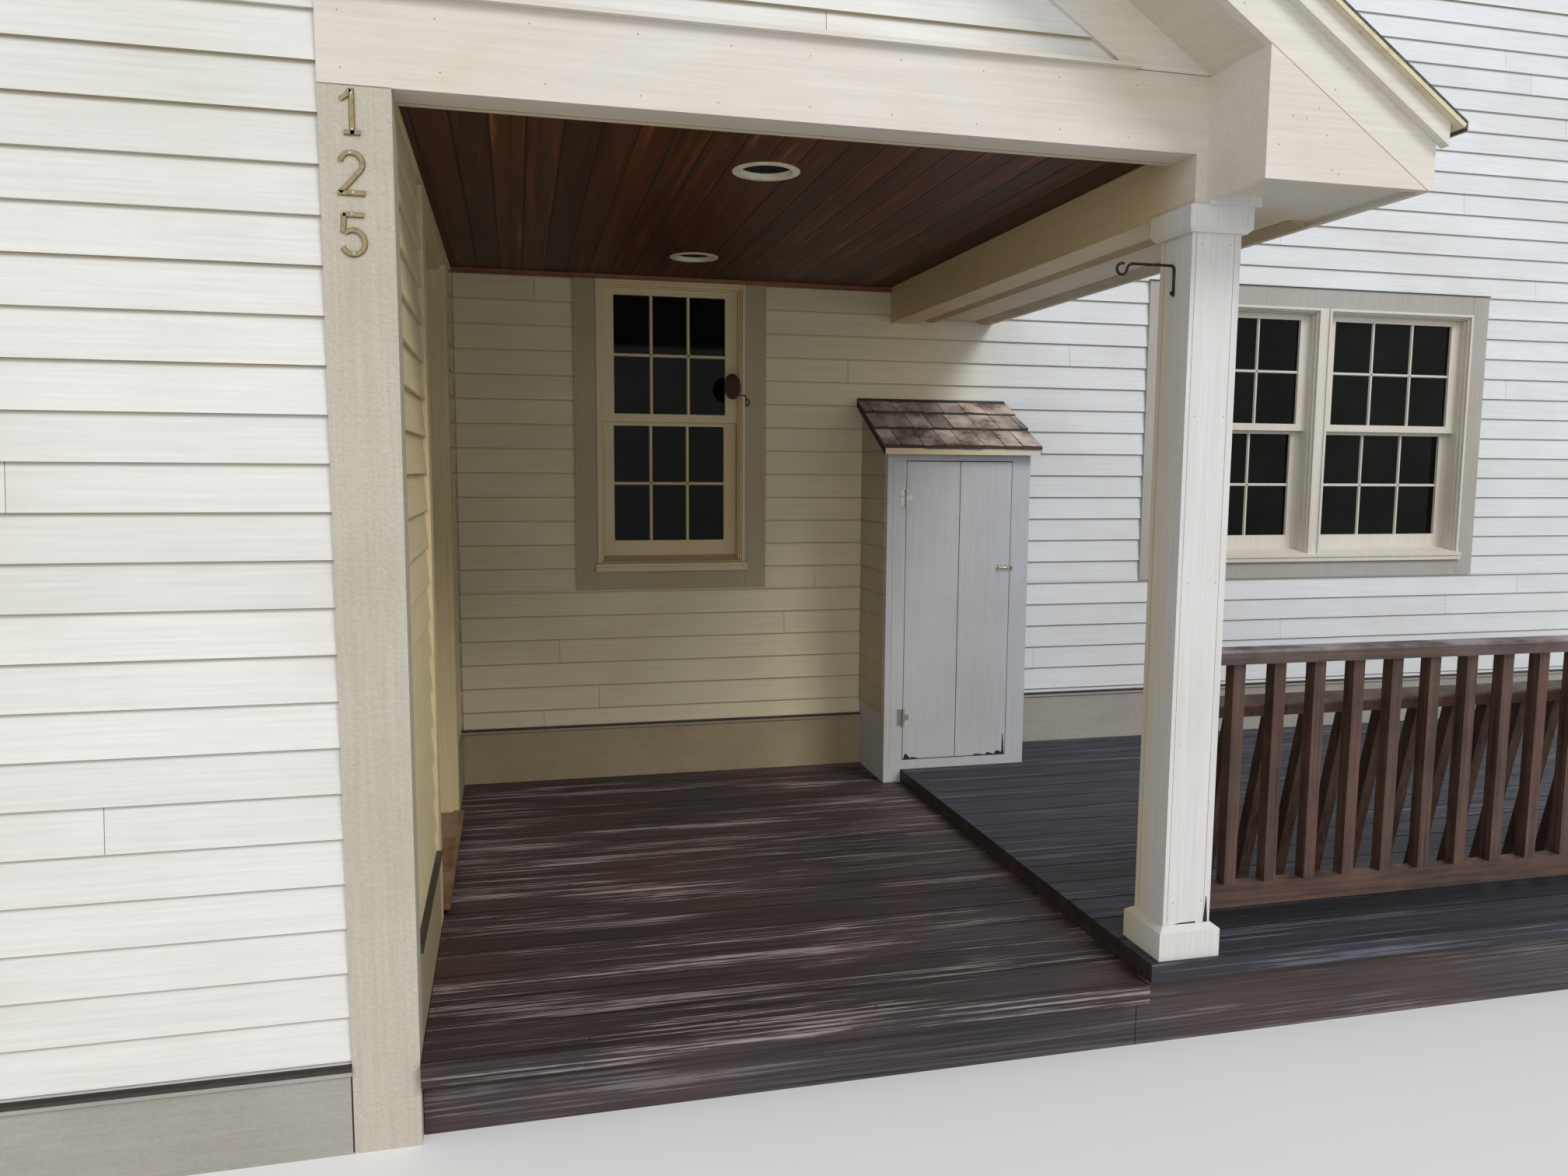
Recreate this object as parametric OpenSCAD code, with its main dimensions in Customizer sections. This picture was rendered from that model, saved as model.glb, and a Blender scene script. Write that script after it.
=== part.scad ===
// Entrance porch recessed under the corner of a gabled wing, with a stretch of the house wall behind it.
// Millimetres, +Z up. X runs along the front, Y runs into the porch, and the front face looks along -Y.
// The origin is on the ground, in the middle of the footprint.

/* [Porch] */
// Clear width of the porch between the corner board and the eave return
porch_w = 1925; // [1700:5:2200]
// Depth of the porch from its front face to the house wall
porch_d = 2330; // [2000:10:2800]
// Height of the lower deck above the ground
deck_h = 200; // [150:5:350]
// Rise from the lower deck to the platform
step_rise = 55; // [40:5:180]
// Distance from the corner board to the platform's edge
platform_x = 1850; // [1820:5:1860]
// Height of the front beam's underside above the entrance door's top
head_over = 65; // [40:5:200]

/* [House] */
// Width of the enclosed part of the wing, left of the porch
wing_w = 1850; // [1400:10:2600]
// Length of the house wall right of the porch's clear width
wall_right = 3930; // [3600:10:4600]
// Height of the house wall above the ridge
wall_over = 60; // [30:5:400]
// Thickness of a framed wall, without its trim
wall_t = 130; // [90:5:200]
// How far trim boards stand proud of the wall's face
trim_t = 20; // [15:1:30]
// Width of a corner board
corner_w = 146; // [100:1:180]
// Height of the skirt board on the outside of the wing
skirt_h = 190; // [120:5:260]
// Height of the skirt board above the deck, inside the porch
porch_skirt_h = 220; // [140:5:300]
// Height of the drip strip on top of a skirt board
drip_h = 18; // [12:1:30]

/* [Beams] */
// Height of the front beam
beam_h = 187; // [140:1:260]
// Thickness of the front beam, from front to back
beam_t = 115; // [90:5:160]
// How far the side beam hangs below the front beam
side_drop = 122; // [60:1:160]
// Width of the side beam
side_w = 115; // [90:5:130]
// Height of the ceiling above the front beam's underside
ceiling_lift = 35; // [20:1:60]
// Thickness of the ceiling boards
ceiling_t = 19; // [12:1:30]
// Radius of a ceiling light's can
light_r = 76; // [50:1:100]

/* [Roof] */
// Rise of the roof for each unit of run
pitch = 0.667; // [0.5:0.01:0.8]
// Overhang of the gable in front of the beam
rake_out = 228; // [150:1:320]
// Width of the eave return, measured along the front
return_w = 462; // [400:1:560]
// Width of the rake board under its shadow board, square to the slope
rake_w = 98; // [80:1:150]
// Thickness of the rake board
rake_t = 25; // [18:1:40]
// Width of the shadow board over the rake board, square to the slope
shadow_w = 45; // [30:1:80]
// Thickness of the roof boards
deck_board_t = 12; // [9:1:30]
// Thickness of the roof covering
roofing_t = 6; // [4:1:25]
// Width of each half of the ridge cap
ridge_cap_w = 130; // [90:5:200]

/* [Column] */
// Side of the boxed column
column_w = 140; // [100:1:180]
// Height of the column's base block
base_h = 90; // [60:1:160]
// How far the base block stands out from the shaft
base_out = 20; // [10:1:30]
// Height of the column's capital band
cap_h = 64; // [40:1:100]
// How far the capital band stands out from the shaft
cap_out = 20; // [12:1:30]

/* [Railing] */
// Height of the top rail above the platform
rail_h = 822; // [700:5:1000]
// Side of a baluster
baluster_w = 36; // [28:1:45]
// Spacing of the balusters, centre to centre
baluster_pitch = 127; // [100:1:150]
// Width of the top rail
rail_w = 76; // [60:1:100]
// Thickness of the top rail
rail_t = 38; // [28:1:50]

/* [Windows] */
// Width of the porch window's frame
porch_window_w = 645; // [500:5:760]
// Distance from the corner board to the porch window's frame
porch_window_x = 578; // [500:1:700]
// Height of the porch window's sill above the lower deck
porch_window_sill = 911; // [800:1:1000]
// Width of the twin window's frame
twin_w = 1766; // [1500:2:2000]
// Distance from the corner board to the twin window's frame
twin_x = 3284; // [3200:2:3400]
// Height of the twin window's sill above the lower deck
twin_sill = 910; // [800:1:1000]
// Height of the twin window's frame
twin_h = 1258; // [1000:2:1400]
// Width of a window casing board
casing_w = 94; // [70:1:120]
// Width of a sash stile
stile_w = 53; // [40:1:65]

/* [Doors] */
// Width of the entrance door
door_w = 914; // [760:2:1000]
// Height of the entrance door
door_h = 2032; // [1950:2:2100]
// Distance from the front face to the entrance door's opening
door_y = 860; // [700:10:900]
// Width of the cabinet
cabinet_w = 655; // [600:5:680]
// Depth of the cabinet
cabinet_d = 370; // [300:5:450]
// Height of the cabinet's door head above the lower deck
cabinet_head = 1397; // [1200:5:1600]
// Width of the cabinet's stiles
cabinet_stile = 84; // [60:1:100]

/* [Hidden] */
$fn = 48;
eps = 0.01;

// Levels
deck_z = deck_h;
platform_z = deck_z + step_rise;
sill_z = deck_z + 40;
door_z1 = sill_z + door_h;
beam_z0 = door_z1 + head_over;
beam_z1 = beam_z0 + beam_h;
side_z0 = beam_z0 - side_drop;
eave_z0 = side_z0 + 11;
soffit_z0 = eave_z0 + 12;
ceiling_z = beam_z0 + ceiling_lift;
strip_h = 20;
porch_window_z1 = ceiling_z - strip_h;
board_t = 28;
board_w = 140;
board_gap = 5;

// Plan
return_x = porch_w;
side_x0 = return_x - 30;
side_x1 = side_x0 + side_w;
wing_x0 = -wing_w;
wall_x1 = porch_w + wall_right;
face_x = -trim_t;
wall_y = porch_d;
wall_x0 = 2 * ((wing_x0 + side_x1) / 2) - (return_x + return_w) - 110;
ridge_x = (wing_x0 + side_x1) / 2;
front_y = -rake_out;
jamb_t = 20;
door_y1 = door_y + door_w + 2 * jamb_t;
shadow_t = 25;
soffit_t = 15;
fascia_t = 20;
edge_out = 17;
edge_tip = 47;
y_min = front_y - shadow_t - edge_out;
y_max = wall_y + wall_t;
mid_x = (wall_x0 + wall_x1) / 2;
mid_y = (y_min + y_max) / 2;

// Roof lines: the rake soffit's underside passes the beam's top at the return's inner face
slope_len = sqrt(1 + pitch * pitch);
rake_v = rake_w * slope_len;
shadow_v = shadow_w * slope_len;
roof_low = rake_v + shadow_v;
roof_v = (deck_board_t + roofing_t) * slope_len;
ridge_cap_t = 10;
slope_fit = 0.1;
eave_x = return_x + return_w;
half_span = eave_x - ridge_x;
function soffit_z(x) = beam_z1 + (return_x - ridge_x - abs(x - ridge_x)) * pitch;
function roof_under_z(x) = soffit_z(x) + roof_low - slope_fit;
ridge_z = soffit_z(ridge_x) + roof_low + roof_v + ridge_cap_t;
wall_top = ridge_z + wall_over;

// Moves a piece from the porch's own corner to the middle of the footprint
module place() { translate([-mid_x, -mid_y, 0]) children(); }
// A box from its low corner to its high corner
module block(low, high) { translate(low) cube(high - low); }
// An outline drawn in X and Z, carried along Y
module along_y(y0, y1) {
    translate([0, y1, 0]) rotate([90, 0, 0]) linear_extrude(y1 - y0) children();
}
// An outline drawn in Y and Z, carried along X
module along_x(x0, x1) {
    translate([x0, 0, 0]) rotate([90, 0, 90]) linear_extrude(x1 - x0) children();
}
// A round bar from one point to another
module bar(a, b, r) {
    d = b - a;
    translate(a) rotate([0, acos(d.z / norm(d)), atan2(d.y, d.x)]) cylinder(r = r, h = norm(d), $fn = 16);
}
// A round bar bent in the X-Z plane about a centre, from one angle through a span
module bent_bar(centre, radius, start, span, r) {
    translate(centre) rotate([90, 0, 0]) rotate([0, 0, start])
        rotate_extrude(angle = span) translate([radius, 0]) circle(r, $fn = 16);
}
// A piece and its mirror image about the ridge
module both_slopes() {
    children();
    translate([2 * ridge_x, 0, 0]) mirror([1, 0, 0]) children();
}
// The band between two lines that follow the right-hand slope, from x0 to x1
module slope_band(x0, x1, low, high) {
    polygon([[x0, soffit_z(x0) + low], [x1, soffit_z(x1) + low],
        [x1, soffit_z(x1) + high], [x0, soffit_z(x0) + high]]);
}

// House wall with its two window openings, cut off plainly at both ends and at the top
module house_wall() {
    color("gainsboro") place() difference() {
        block([wall_x0, wall_y, 0], [wall_x1, wall_y + wall_t, wall_top]);
        block([porch_window_x, wall_y - 1, deck_z + porch_window_sill],
            [porch_window_x + porch_window_w, wall_y + wall_t + 1, porch_window_z1]);
        block([twin_x, wall_y - 1, deck_z + twin_sill],
            [twin_x + twin_w, wall_y + wall_t + 1, deck_z + twin_sill + twin_h]);
    }
}

// Front wall of the enclosed part of the wing
module wing_front_wall() {
    color("gainsboro") place()
        block([wing_x0, trim_t, 0], [face_x, trim_t + wall_t, beam_z1]);
}
// Outer side wall of the wing
module wing_side_wall() {
    color("gainsboro") place()
        block([wing_x0, trim_t + wall_t, 0], [wing_x0 + wall_t, wall_y, beam_z1]);
}
// Wall between the porch and the wing: beside the entrance, and over it
module porch_wall() {
    color("gainsboro") place() {
        block([face_x - wall_t, trim_t + wall_t, 0], [face_x, door_y, beam_z1]);
        block([face_x - wall_t, door_y1, 0], [face_x, wall_y, beam_z1]);
    }
}
module porch_wall_head() {
    color("gainsboro") place()
        block([face_x - wall_t, door_y, door_z1 + jamb_t],
            [face_x, door_y1, beam_z1]);
}
// Floor of the enclosed part of the wing
module wing_floor() {
    color("burlywood") place()
        block([wing_x0 + wall_t, trim_t + wall_t, deck_z - 20],
            [face_x - wall_t, wall_y, deck_z + 20]);
}

// Triangular wall over the front beam
module gable_wall() {
    color("gainsboro") place() along_y(trim_t, beam_t) polygon([
        [wing_x0, beam_z1], [side_x1, beam_z1],
        [side_x1, roof_under_z(side_x1)], [ridge_x, roof_under_z(ridge_x)],
        [wing_x0, roof_under_z(wing_x0)]]);
}

// Boxed beam over the porch opening, with its wide face board and the moulding against the ceiling
module front_beam() {
    color("antiquewhite") place() union() {
        block([0, trim_t - eps, beam_z0], [side_x0, beam_t, beam_z1]);
        block([-corner_w, 0, beam_z0], [return_x, trim_t, beam_z1]);
        along_x(0, side_x0) polygon([[beam_t - eps, beam_z0], [beam_t + 14, beam_z0 + 8],
            [beam_t + 22, ceiling_z], [beam_t - eps, ceiling_z]]);
    }
}
// Sloped cap on the beam's face board, ending at the toe of the right-hand frieze
cap_drop = 10;
cap_nose = 18;
module beam_cap() {
    toe_x = return_x - frieze_v / pitch;
    color("antiquewhite") place() difference() {
        along_x(-corner_w, toe_x + 22) polygon([[-cap_nose, beam_z1], [-cap_nose, beam_z1 + cap_drop],
            [0, beam_z1 + cap_drop + 6], [trim_t, beam_z1 + cap_drop + 12], [trim_t, beam_z1]]);
        along_y(0, trim_t + 1) slope_band(ridge_x, return_x, -frieze_v - slope_fit, soffit_t);
    }
}
// Boxed side beam from the column back to the house wall
module side_beam() {
    color("antiquewhite") place() union() {
        block([side_x0, 0, side_z0], [side_x1, wall_y, beam_z0]);
        block([side_x0, trim_t, beam_z0 - eps], [side_x1, wall_y, beam_z1]);
    }
}
// Ceiling of narrow boards with two round cuts for the lights
light_x = 925;
ring_w = 18;
can_h = 120;
can_t = 4;
light_ys = [0.24 * porch_d, 0.79 * porch_d];
module ceiling_boards() {
    color("saddlebrown") place() difference() {
        block([face_x, beam_t, ceiling_z], [side_x0, wall_y, ceiling_z + ceiling_t]);
        for (y = light_ys) translate([light_x, y, ceiling_z - 1]) cylinder(r = light_r, h = ceiling_t + 2);
    }
}
// Stained strip where the ceiling meets the house wall
module ceiling_trim() {
    color("peru") place()
        block([face_x, wall_y - 20, ceiling_z - strip_h], [side_x0, wall_y, ceiling_z]);
}
// Recessed lights: a can with a flat ring against the ceiling
module ceiling_lights() {
    color("ivory") place() for (y = light_ys) translate([light_x, y, ceiling_z])
        rotate_extrude() polygon([[light_r - 2, -4], [light_r + ring_w, -3], [light_r + ring_w, 0],
            [light_r - 0.5, 0], [light_r - 0.5, can_h], [0, can_h], [0, can_h - can_t],
            [0.8 * light_r, can_h - can_t]]);
}

// Roof slopes: boards with their covering
module roof_slope() {
    along_y(y_min, wall_y) slope_band(ridge_x, eave_x + edge_tip, roof_low, roof_low + roof_v);
}
module roof_right() { color("dimgray") place() roof_slope(); }
module roof_left() {
    color("dimgray") place() translate([2 * ridge_x, 0, 0]) mirror([1, 0, 0]) roof_slope();
}
// Bent cap over the ridge
module ridge_cap() {
    top = roof_low + roof_v;
    color("dimgray") place() both_slopes() along_y(y_min, wall_y)
        slope_band(ridge_x, ridge_x + ridge_cap_w, top, top + ridge_cap_t);
}

// Front board of each rake, plumb cut at the eave, under its narrow shadow board
module rake_boards() {
    color("antiquewhite") place() both_slopes() union() {
        along_y(front_y, front_y + rake_t) intersection() {
            slope_band(ridge_x, eave_x, 0, roof_low - slope_fit);
            translate([ridge_x, eave_z0]) square([half_span + 1, wall_top]);
        }
        along_y(front_y - shadow_t, front_y + eps)
            slope_band(ridge_x, eave_x + 14, rake_v, roof_low - slope_fit);
    }
}
// Soffits: sloped ones under the rakes, and level ones from the returns back to the house wall
bead_w = 28;
bead_h = 8;
module soffits() {
    color("antiquewhite") place() both_slopes() {
        along_y(front_y + rake_t, 0) slope_band(ridge_x, return_x, 0, soffit_t);
        union() {
            block([return_x + panel_t, front_y + rake_t, soffit_z0],
                [eave_x - fascia_t, 0, soffit_z0 + soffit_t]);
            block([side_x1, -eps, soffit_z0], [eave_x - fascia_t, wall_y, soffit_z0 + soffit_t]);
            block([side_x1, plate_y1, soffit_z0 - bead_h], [side_x1 + bead_w, wall_y, soffit_z0 + eps]);
        }
    }
}
// Sloped frieze boards on the gable wall, under the rake soffit
frieze_v = 150;
module rake_friezes() {
    color("antiquewhite") place() both_slopes() along_y(0, trim_t) intersection() {
        slope_band(ridge_x, return_x, -frieze_v, soffit_t);
        translate([ridge_x, beam_z1]) square([return_x - ridge_x, wall_top]);
    }
}
// Boxed end of each eave: a front panel cut to the rake board's slope, and a side panel
panel_t = 20;
module eave_returns() {
    toe = return_x + (beam_z1 - eave_z0) / pitch;
    color("antiquewhite") place() both_slopes() union() {
        along_y(front_y, front_y + rake_t) intersection() {
            polygon([[return_x, eave_z0], [toe, eave_z0], [return_x, beam_z1]]);
            translate([return_x, eave_z0]) square([return_w, beam_z1]);
        }
        along_y(front_y + rake_t - eps, 0) polygon([[return_x, eave_z0], [return_x + panel_t, eave_z0],
            [return_x + panel_t, soffit_z(return_x + panel_t)], [return_x, beam_z1]]);
    }
}
// Plumb fascia of each eave, reaching up to the roof boards
module eave_fascias() {
    x0 = eave_x - fascia_t;
    color("antiquewhite") place() both_slopes() along_y(front_y + rake_t, wall_y) polygon([
        [x0, eave_z0], [eave_x, eave_z0], [eave_x, roof_under_z(eave_x)], [x0, roof_under_z(x0)]]);
}

// Corner boards of the wing
module corner_boards() {
    color("antiquewhite") place() {
        union() {
            block([-corner_w, 0, 0], [face_x, trim_t, beam_z0]);
            block([face_x, 0, 0], [0, 90, beam_z0]);
        }
        union() {
            block([wing_x0 - trim_t, 0, 0], [wing_x0 + corner_w - trim_t, trim_t, soffit_z0]);
            block([2 * ridge_x - return_x, 0, soffit_z0 - eps],
                [wing_x0 + corner_w - trim_t, trim_t, beam_z1]);
            block([wing_x0 - trim_t, trim_t - eps, 0], [wing_x0, 90, soffit_z0]);
        }
    }
}
// Skirt boards at the foot of the walls
module skirt_boards() {
    color("antiquewhite") place() {
        block([wing_x0 + corner_w - trim_t, 0, 0], [-corner_w, trim_t, skirt_h]);
        block([wing_x0 - trim_t, 90, 0], [wing_x0, wall_y, skirt_h]);
        block([face_x, 90, deck_z], [0, door_y - casing_w, deck_z + porch_skirt_h]);
        block([face_x, door_y1 + casing_w, deck_z],
            [0, wall_y - trim_t, deck_z + porch_skirt_h]);
        block([face_x, wall_y - trim_t, deck_z], [cabinet_x0, wall_y, deck_z + porch_skirt_h]);
        block([cabinet_x0 + cabinet_w, wall_y - trim_t, platform_z],
            [wall_x1, wall_y, platform_z + porch_skirt_h]);
    }
}
// Dark drip strips on top of the skirt boards
module drip_strips() {
    out = 8;
    color("darkslategray") place() {
        block([wing_x0 + corner_w - trim_t, -out, skirt_h], [-corner_w, trim_t, skirt_h + drip_h]);
        block([face_x, 90, deck_z + porch_skirt_h],
            [out, door_y - casing_w, deck_z + porch_skirt_h + drip_h]);
        block([face_x, wall_y - trim_t - out, deck_z + porch_skirt_h],
            [cabinet_x0, wall_y, deck_z + porch_skirt_h + drip_h]);
        block([cabinet_x0 + cabinet_w, wall_y - trim_t - out, platform_z + porch_skirt_h],
            [wall_x1, wall_y, platform_z + porch_skirt_h + drip_h]);
    }
}

// Lower deck: rim and joists, then boards
joist_t = 38;
joist_gap = 400;
nosing_t = 25;
nosing_h = 50;
module joist_frame(x0, x1, z1) {
    count = ceil((x1 - x0 - joist_t) / joist_gap);
    step = (x1 - x0 - joist_t) / count;
    block([x0, 40, 0], [x1, 40 + joist_t, z1]);
    block([x0, wall_y - trim_t - joist_t - 8, 0], [x1, wall_y - trim_t - 8, z1]);
    for (i = [0 : count]) block([x0 + i * step, 40 + joist_t - eps, 0],
        [x0 + i * step + joist_t, wall_y - trim_t - joist_t - 8 + eps, z1]);
}
module deck_run(x0, x1, z1) {
    pitch_y = board_w + board_gap;
    room = wall_y - trim_t - 2;
    count = floor(room / pitch_y);
    last = room - count * pitch_y;
    block([x0, -nosing_t, z1 - nosing_h], [x1, 0, z1]);
    for (i = [0 : count - 1]) block([x0, i * pitch_y + (i == 0 ? 0.5 : 0), z1 - board_t],
        [x1, i * pitch_y + board_w, z1]);
    if (last > 20) block([x0, count * pitch_y, z1 - board_t], [x1, room, z1]);
}
module deck_frames() {
    color("dimgray") place() {
        joist_frame(2, platform_x - 2, deck_z - board_t);
        joist_frame(platform_x, wall_x1 - 40, platform_z - board_t);
    }
}
module deck_boards() { color("dimgray") place() deck_run(2, platform_x - 2, deck_z); }
module platform_boards() { color("gray") place() deck_run(platform_x, wall_x1 - 20, platform_z); }

// Column: base block with a sloped top, boxed shaft, and capital
column_x = side_x0 + 3;
column_y = 8;
module column_at() { translate([column_x + column_w / 2, column_y + column_w / 2, 0]) children(); }
module column_base() {
    r = column_w / 2 + base_out;
    color("antiquewhite") place() column_at() translate([0, 0, platform_z]) union() {
        block([-r, -r, 0], [r, r, base_h - 14]);
        intersection() {
            along_y(-r, r) polygon([[-r, base_h - 14 - eps], [r, base_h - 14 - eps],
                [r - base_out + 2, base_h], [-r + base_out - 2, base_h]]);
            along_x(-r, r) polygon([[-r, base_h - 14 - eps], [r, base_h - 14 - eps],
                [r - base_out + 2, base_h], [-r + base_out - 2, base_h]]);
        }
    }
}
module column_shaft() {
    color("antiquewhite") place() column_at()
        block([-column_w / 2, -column_w / 2, platform_z + base_h],
            [column_w / 2, column_w / 2, side_z0 - cap_h]);
}
// Capital band with a chamfered foot, and the plate that packs it up to the return and the soffit
plate_out = 12;
plate_x1 = column_x + column_w + cap_out + plate_out;
plate_y1 = column_y + column_w + cap_out + plate_out;
module column_capital() {
    r = column_w / 2 + cap_out;
    foot = side_z0 - cap_h;
    chamfer = 12;
    outline = [[-r + cap_out / 2, foot], [r - cap_out / 2, foot], [r, foot + chamfer + eps],
        [-r, foot + chamfer + eps]];
    color("antiquewhite") place() union() {
        column_at() block([-r, -r, foot + chamfer], [r, r, side_z0]);
        column_at() intersection() {
            along_y(-r, r) polygon(outline);
            along_x(-r, r) polygon(outline);
        }
        block([return_x, column_y - cap_out - plate_out, side_z0 - eps], [plate_x1, 0, eave_z0]);
        block([return_x + panel_t, column_y - cap_out - plate_out, side_z0 - eps], [plate_x1, 0, soffit_z0]);
        block([side_x1, -eps, side_z0 - eps], [plate_x1, plate_y1, soffit_z0]);
    }
}
// Iron bracket on the column's left face: a bent bar with a scroll at its end
hook_z = side_z0 - 135;
hook_r = 3.5;
hook_leg = 77;
hook_len = 121;
hook_bend = 10;
hook_curl = 14;
module plant_hook() {
    s_bend = 17.16;
    s_span = 84.2;
    tip = 25;
    collar_r = hook_r + 0.6;
    collar_h = 3;
    x = -hook_r - hook_bend;
    curl_x = -hook_len - 31;
    meet = [-hook_len + s_bend * cos(90 + s_span), -s_bend + s_bend * sin(90 + s_span)];
    // Where the bar's lengths meet, with each collar's lean
    joints = [[-hook_r, -hook_bend, 0], [x, 0, 90], [-hook_len, 0, 90], [meet.x, meet.y, 90 - s_span]];
    color("darkslategray") place() translate([column_x, column_y + column_w / 2, hook_z]) union() {
        bar([-hook_r, 0, -hook_leg], [-hook_r, 0, -hook_bend], hook_r);
        bent_bar([x, 0, -hook_bend], hook_bend, 0, 90, hook_r);
        bar([x, 0, 0], [-hook_len, 0, 0], hook_r);
        bent_bar([-hook_len, 0, -s_bend], s_bend, 90, s_span, hook_r);
        bent_bar([curl_x, 0, -hook_curl], hook_curl, 90 - tip, 180 + s_span + tip, hook_r);
        for (j = joints) translate([j.x, 0, j.y]) rotate([0, j.z, 0])
            cylinder(r = collar_r, h = collar_h, center = true, $fn = 16);
        translate([-hook_r, 0, 8 - hook_leg]) rotate([0, -90, 0]) cylinder(r = 5, h = hook_r + 3);
    }
}

// Railing right of the column
rail_y = column_y + column_w / 2;
rail_x0 = column_x + column_w;
rail_x1 = wall_x1 - 40;
post_w = 90;
rail_z1 = platform_z + rail_h;
bottom_z0 = platform_z + 100;
bottom_z1 = bottom_z0 + 64;
post_xs = [(rail_x0 + rail_x1 - post_w) / 2, rail_x1 - post_w];
module rail_posts() {
    color("sienna") place() for (x = post_xs)
        block([x, rail_y - post_w / 2, platform_z], [x + post_w, rail_y + post_w / 2, rail_z1 - rail_t]);
}
module rail_top() {
    r = 10;
    color("sienna") place() along_x(rail_x0, rail_x1) translate([rail_y, rail_z1 - rail_t]) union() {
        translate([-rail_w / 2, 0]) square([rail_w, rail_t - r]);
        translate([-rail_w / 2 + r, 0]) square([rail_w - 2 * r, rail_t]);
        for (s = [-1, 1]) translate([s * (rail_w / 2 - r), rail_t - r]) circle(r);
    }
}
// Balusters standing on a bottom rail, between a post and the next
module rail_panel(x0, x1) {
    count = floor((x1 - x0 - baluster_w) / baluster_pitch);
    first = x0 + (x1 - x0 - (count - 1) * baluster_pitch) / 2;
    block([x0, rail_y - 19, bottom_z0], [x1, rail_y + 19, bottom_z1]);
    for (i = [0 : count - 1]) translate([first + i * baluster_pitch, rail_y, bottom_z1])
        block([-baluster_w / 2, -baluster_w / 2, -eps],
            [baluster_w / 2, baluster_w / 2, rail_z1 - rail_t - bottom_z1]);
}
module rail_panels() {
    color("sienna") place() {
        union() rail_panel(rail_x0, post_xs[0]);
        union() rail_panel(post_xs[0] + post_w, post_xs[1]);
    }
}
// Lower rail inside the first, on bars that lean outwards from a sole on the platform
inner_h = 650;
inner_foot_y = 344;
inner_lean = 11.6;
inner_x0 = rail_x0 + 10;
inner_x1 = post_xs[0];
module inner_rail() {
    length = inner_h / cos(inner_lean);
    count = floor((inner_x1 - inner_x0) / baluster_pitch);
    color("sienna") place() union() {
        block([inner_x0, inner_foot_y - 30, platform_z], [inner_x1, inner_foot_y + 30, platform_z + 38]);
        translate([0, inner_foot_y, platform_z]) rotate([inner_lean, 0, 0]) {
            along_x(inner_x0, inner_x1) translate([0, length - rail_t]) union() {
                translate([-rail_w / 2, 0]) square([rail_w, rail_t - 10]);
                translate([-rail_w / 2 + 10, 0]) square([rail_w - 20, rail_t]);
                for (s = [-1, 1]) translate([s * (rail_w / 2 - 10), rail_t - 10]) circle(10);
            }
            for (i = [0 : count - 1]) translate([inner_x0 + 60 + i * baluster_pitch, 0, 0])
                block([-baluster_w / 2, -baluster_w / 2, 15], [baluster_w / 2, baluster_w / 2, length - rail_t + 1]);
        }
    }
}

// Windows: casing on the wall's face, stepped frame in the wall, sashes and glass
frame_t = 26;
frame_y0 = wall_y - trim_t - 6;
frame_y1 = wall_y + 115;
sash_t = 35;
glass_t = 5;
sash_y = wall_y + 30;
sash_lap = 9;
meet_lift = 18;
meet_rail = 34;
top_rail = 28;
bottom_rail = 66;
apron_h = 80;
sill_h = 63;
sill_front = 40;
nose_h = 22;
module casing(x0, x1, z0, z1, head) {
    block([x0 - casing_w, wall_y - trim_t, z0 - apron_h], [x0, wall_y, z1 + head]);
    block([x1, wall_y - trim_t, z0 - apron_h], [x1 + casing_w, wall_y, z1 + head]);
    block([x0 - eps, wall_y - trim_t, z0 - apron_h], [x1 + eps, wall_y, z0]);
    if (head > 0) block([x0 - eps, wall_y - trim_t, z1], [x1 + eps, wall_y, z1 + head]);
}
// The frame's inner face steps in twice, and a sloped sill is let in between its jambs
module frame(x0, x1, z0, z1) {
    deep = sash_y + sash_t - frame_y0;
    difference() {
        block([x0, frame_y0, z0], [x1, frame_y1, z1]);
        for (s = [[12, 14], [20, 34]])
            block([x0 + s[0], frame_y0 - 1, z0 + 5], [x1 - s[0], frame_y0 + s[1], z1 - s[0]]);
        block([x0 + frame_t, frame_y0 - 1, z0 + 5], [x1 - frame_t, frame_y1 + 1, z1 - frame_t]);
    }
    along_x(x0 + 2, x1 - 2) polygon([[frame_y0 + 2, z0 + 1], [frame_y1 - 2, z0 + 1],
        [frame_y1 - 2, z0 + sill_h], [frame_y0 + deep, z0 + sill_h], [frame_y0 + 2, z0 + sill_front]]);
}
// Stepped nosing along the front of a sill
module nosing(x0, x1, z0) {
    horn = 10;
    along_x(x0 - horn, x1 + horn) polygon([[frame_y0 - 10, z0], [wall_y - trim_t, z0],
        [wall_y - trim_t, z0 + sill_front - 1], [frame_y0 - 16, z0 + sill_front - 6],
        [frame_y0 - 16, z0 + nose_h], [frame_y0 - 10, z0 + nose_h - 2]]);
}
module sash(x0, x1, z0, z1, y, foot, head) {
    difference() {
        block([x0, y, z0], [x1, y + sash_t, z1]);
        block([x0 + stile_w, y - 1, z0 + foot], [x1 - stile_w, y + sash_t + 1, z1 - head]);
    }
}
function meet_z(z0, z1) = (z0 + z1) / 2 + meet_lift;
module sash_pair(x0, x1, z0, z1) {
    mid = meet_z(z0, z1);
    sash(x0, x1, mid - sash_lap, z1, sash_y, meet_rail, top_rail);
    sash(x0, x1, z0, mid + sash_lap, sash_y + sash_t, bottom_rail, meet_rail);
}
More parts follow.
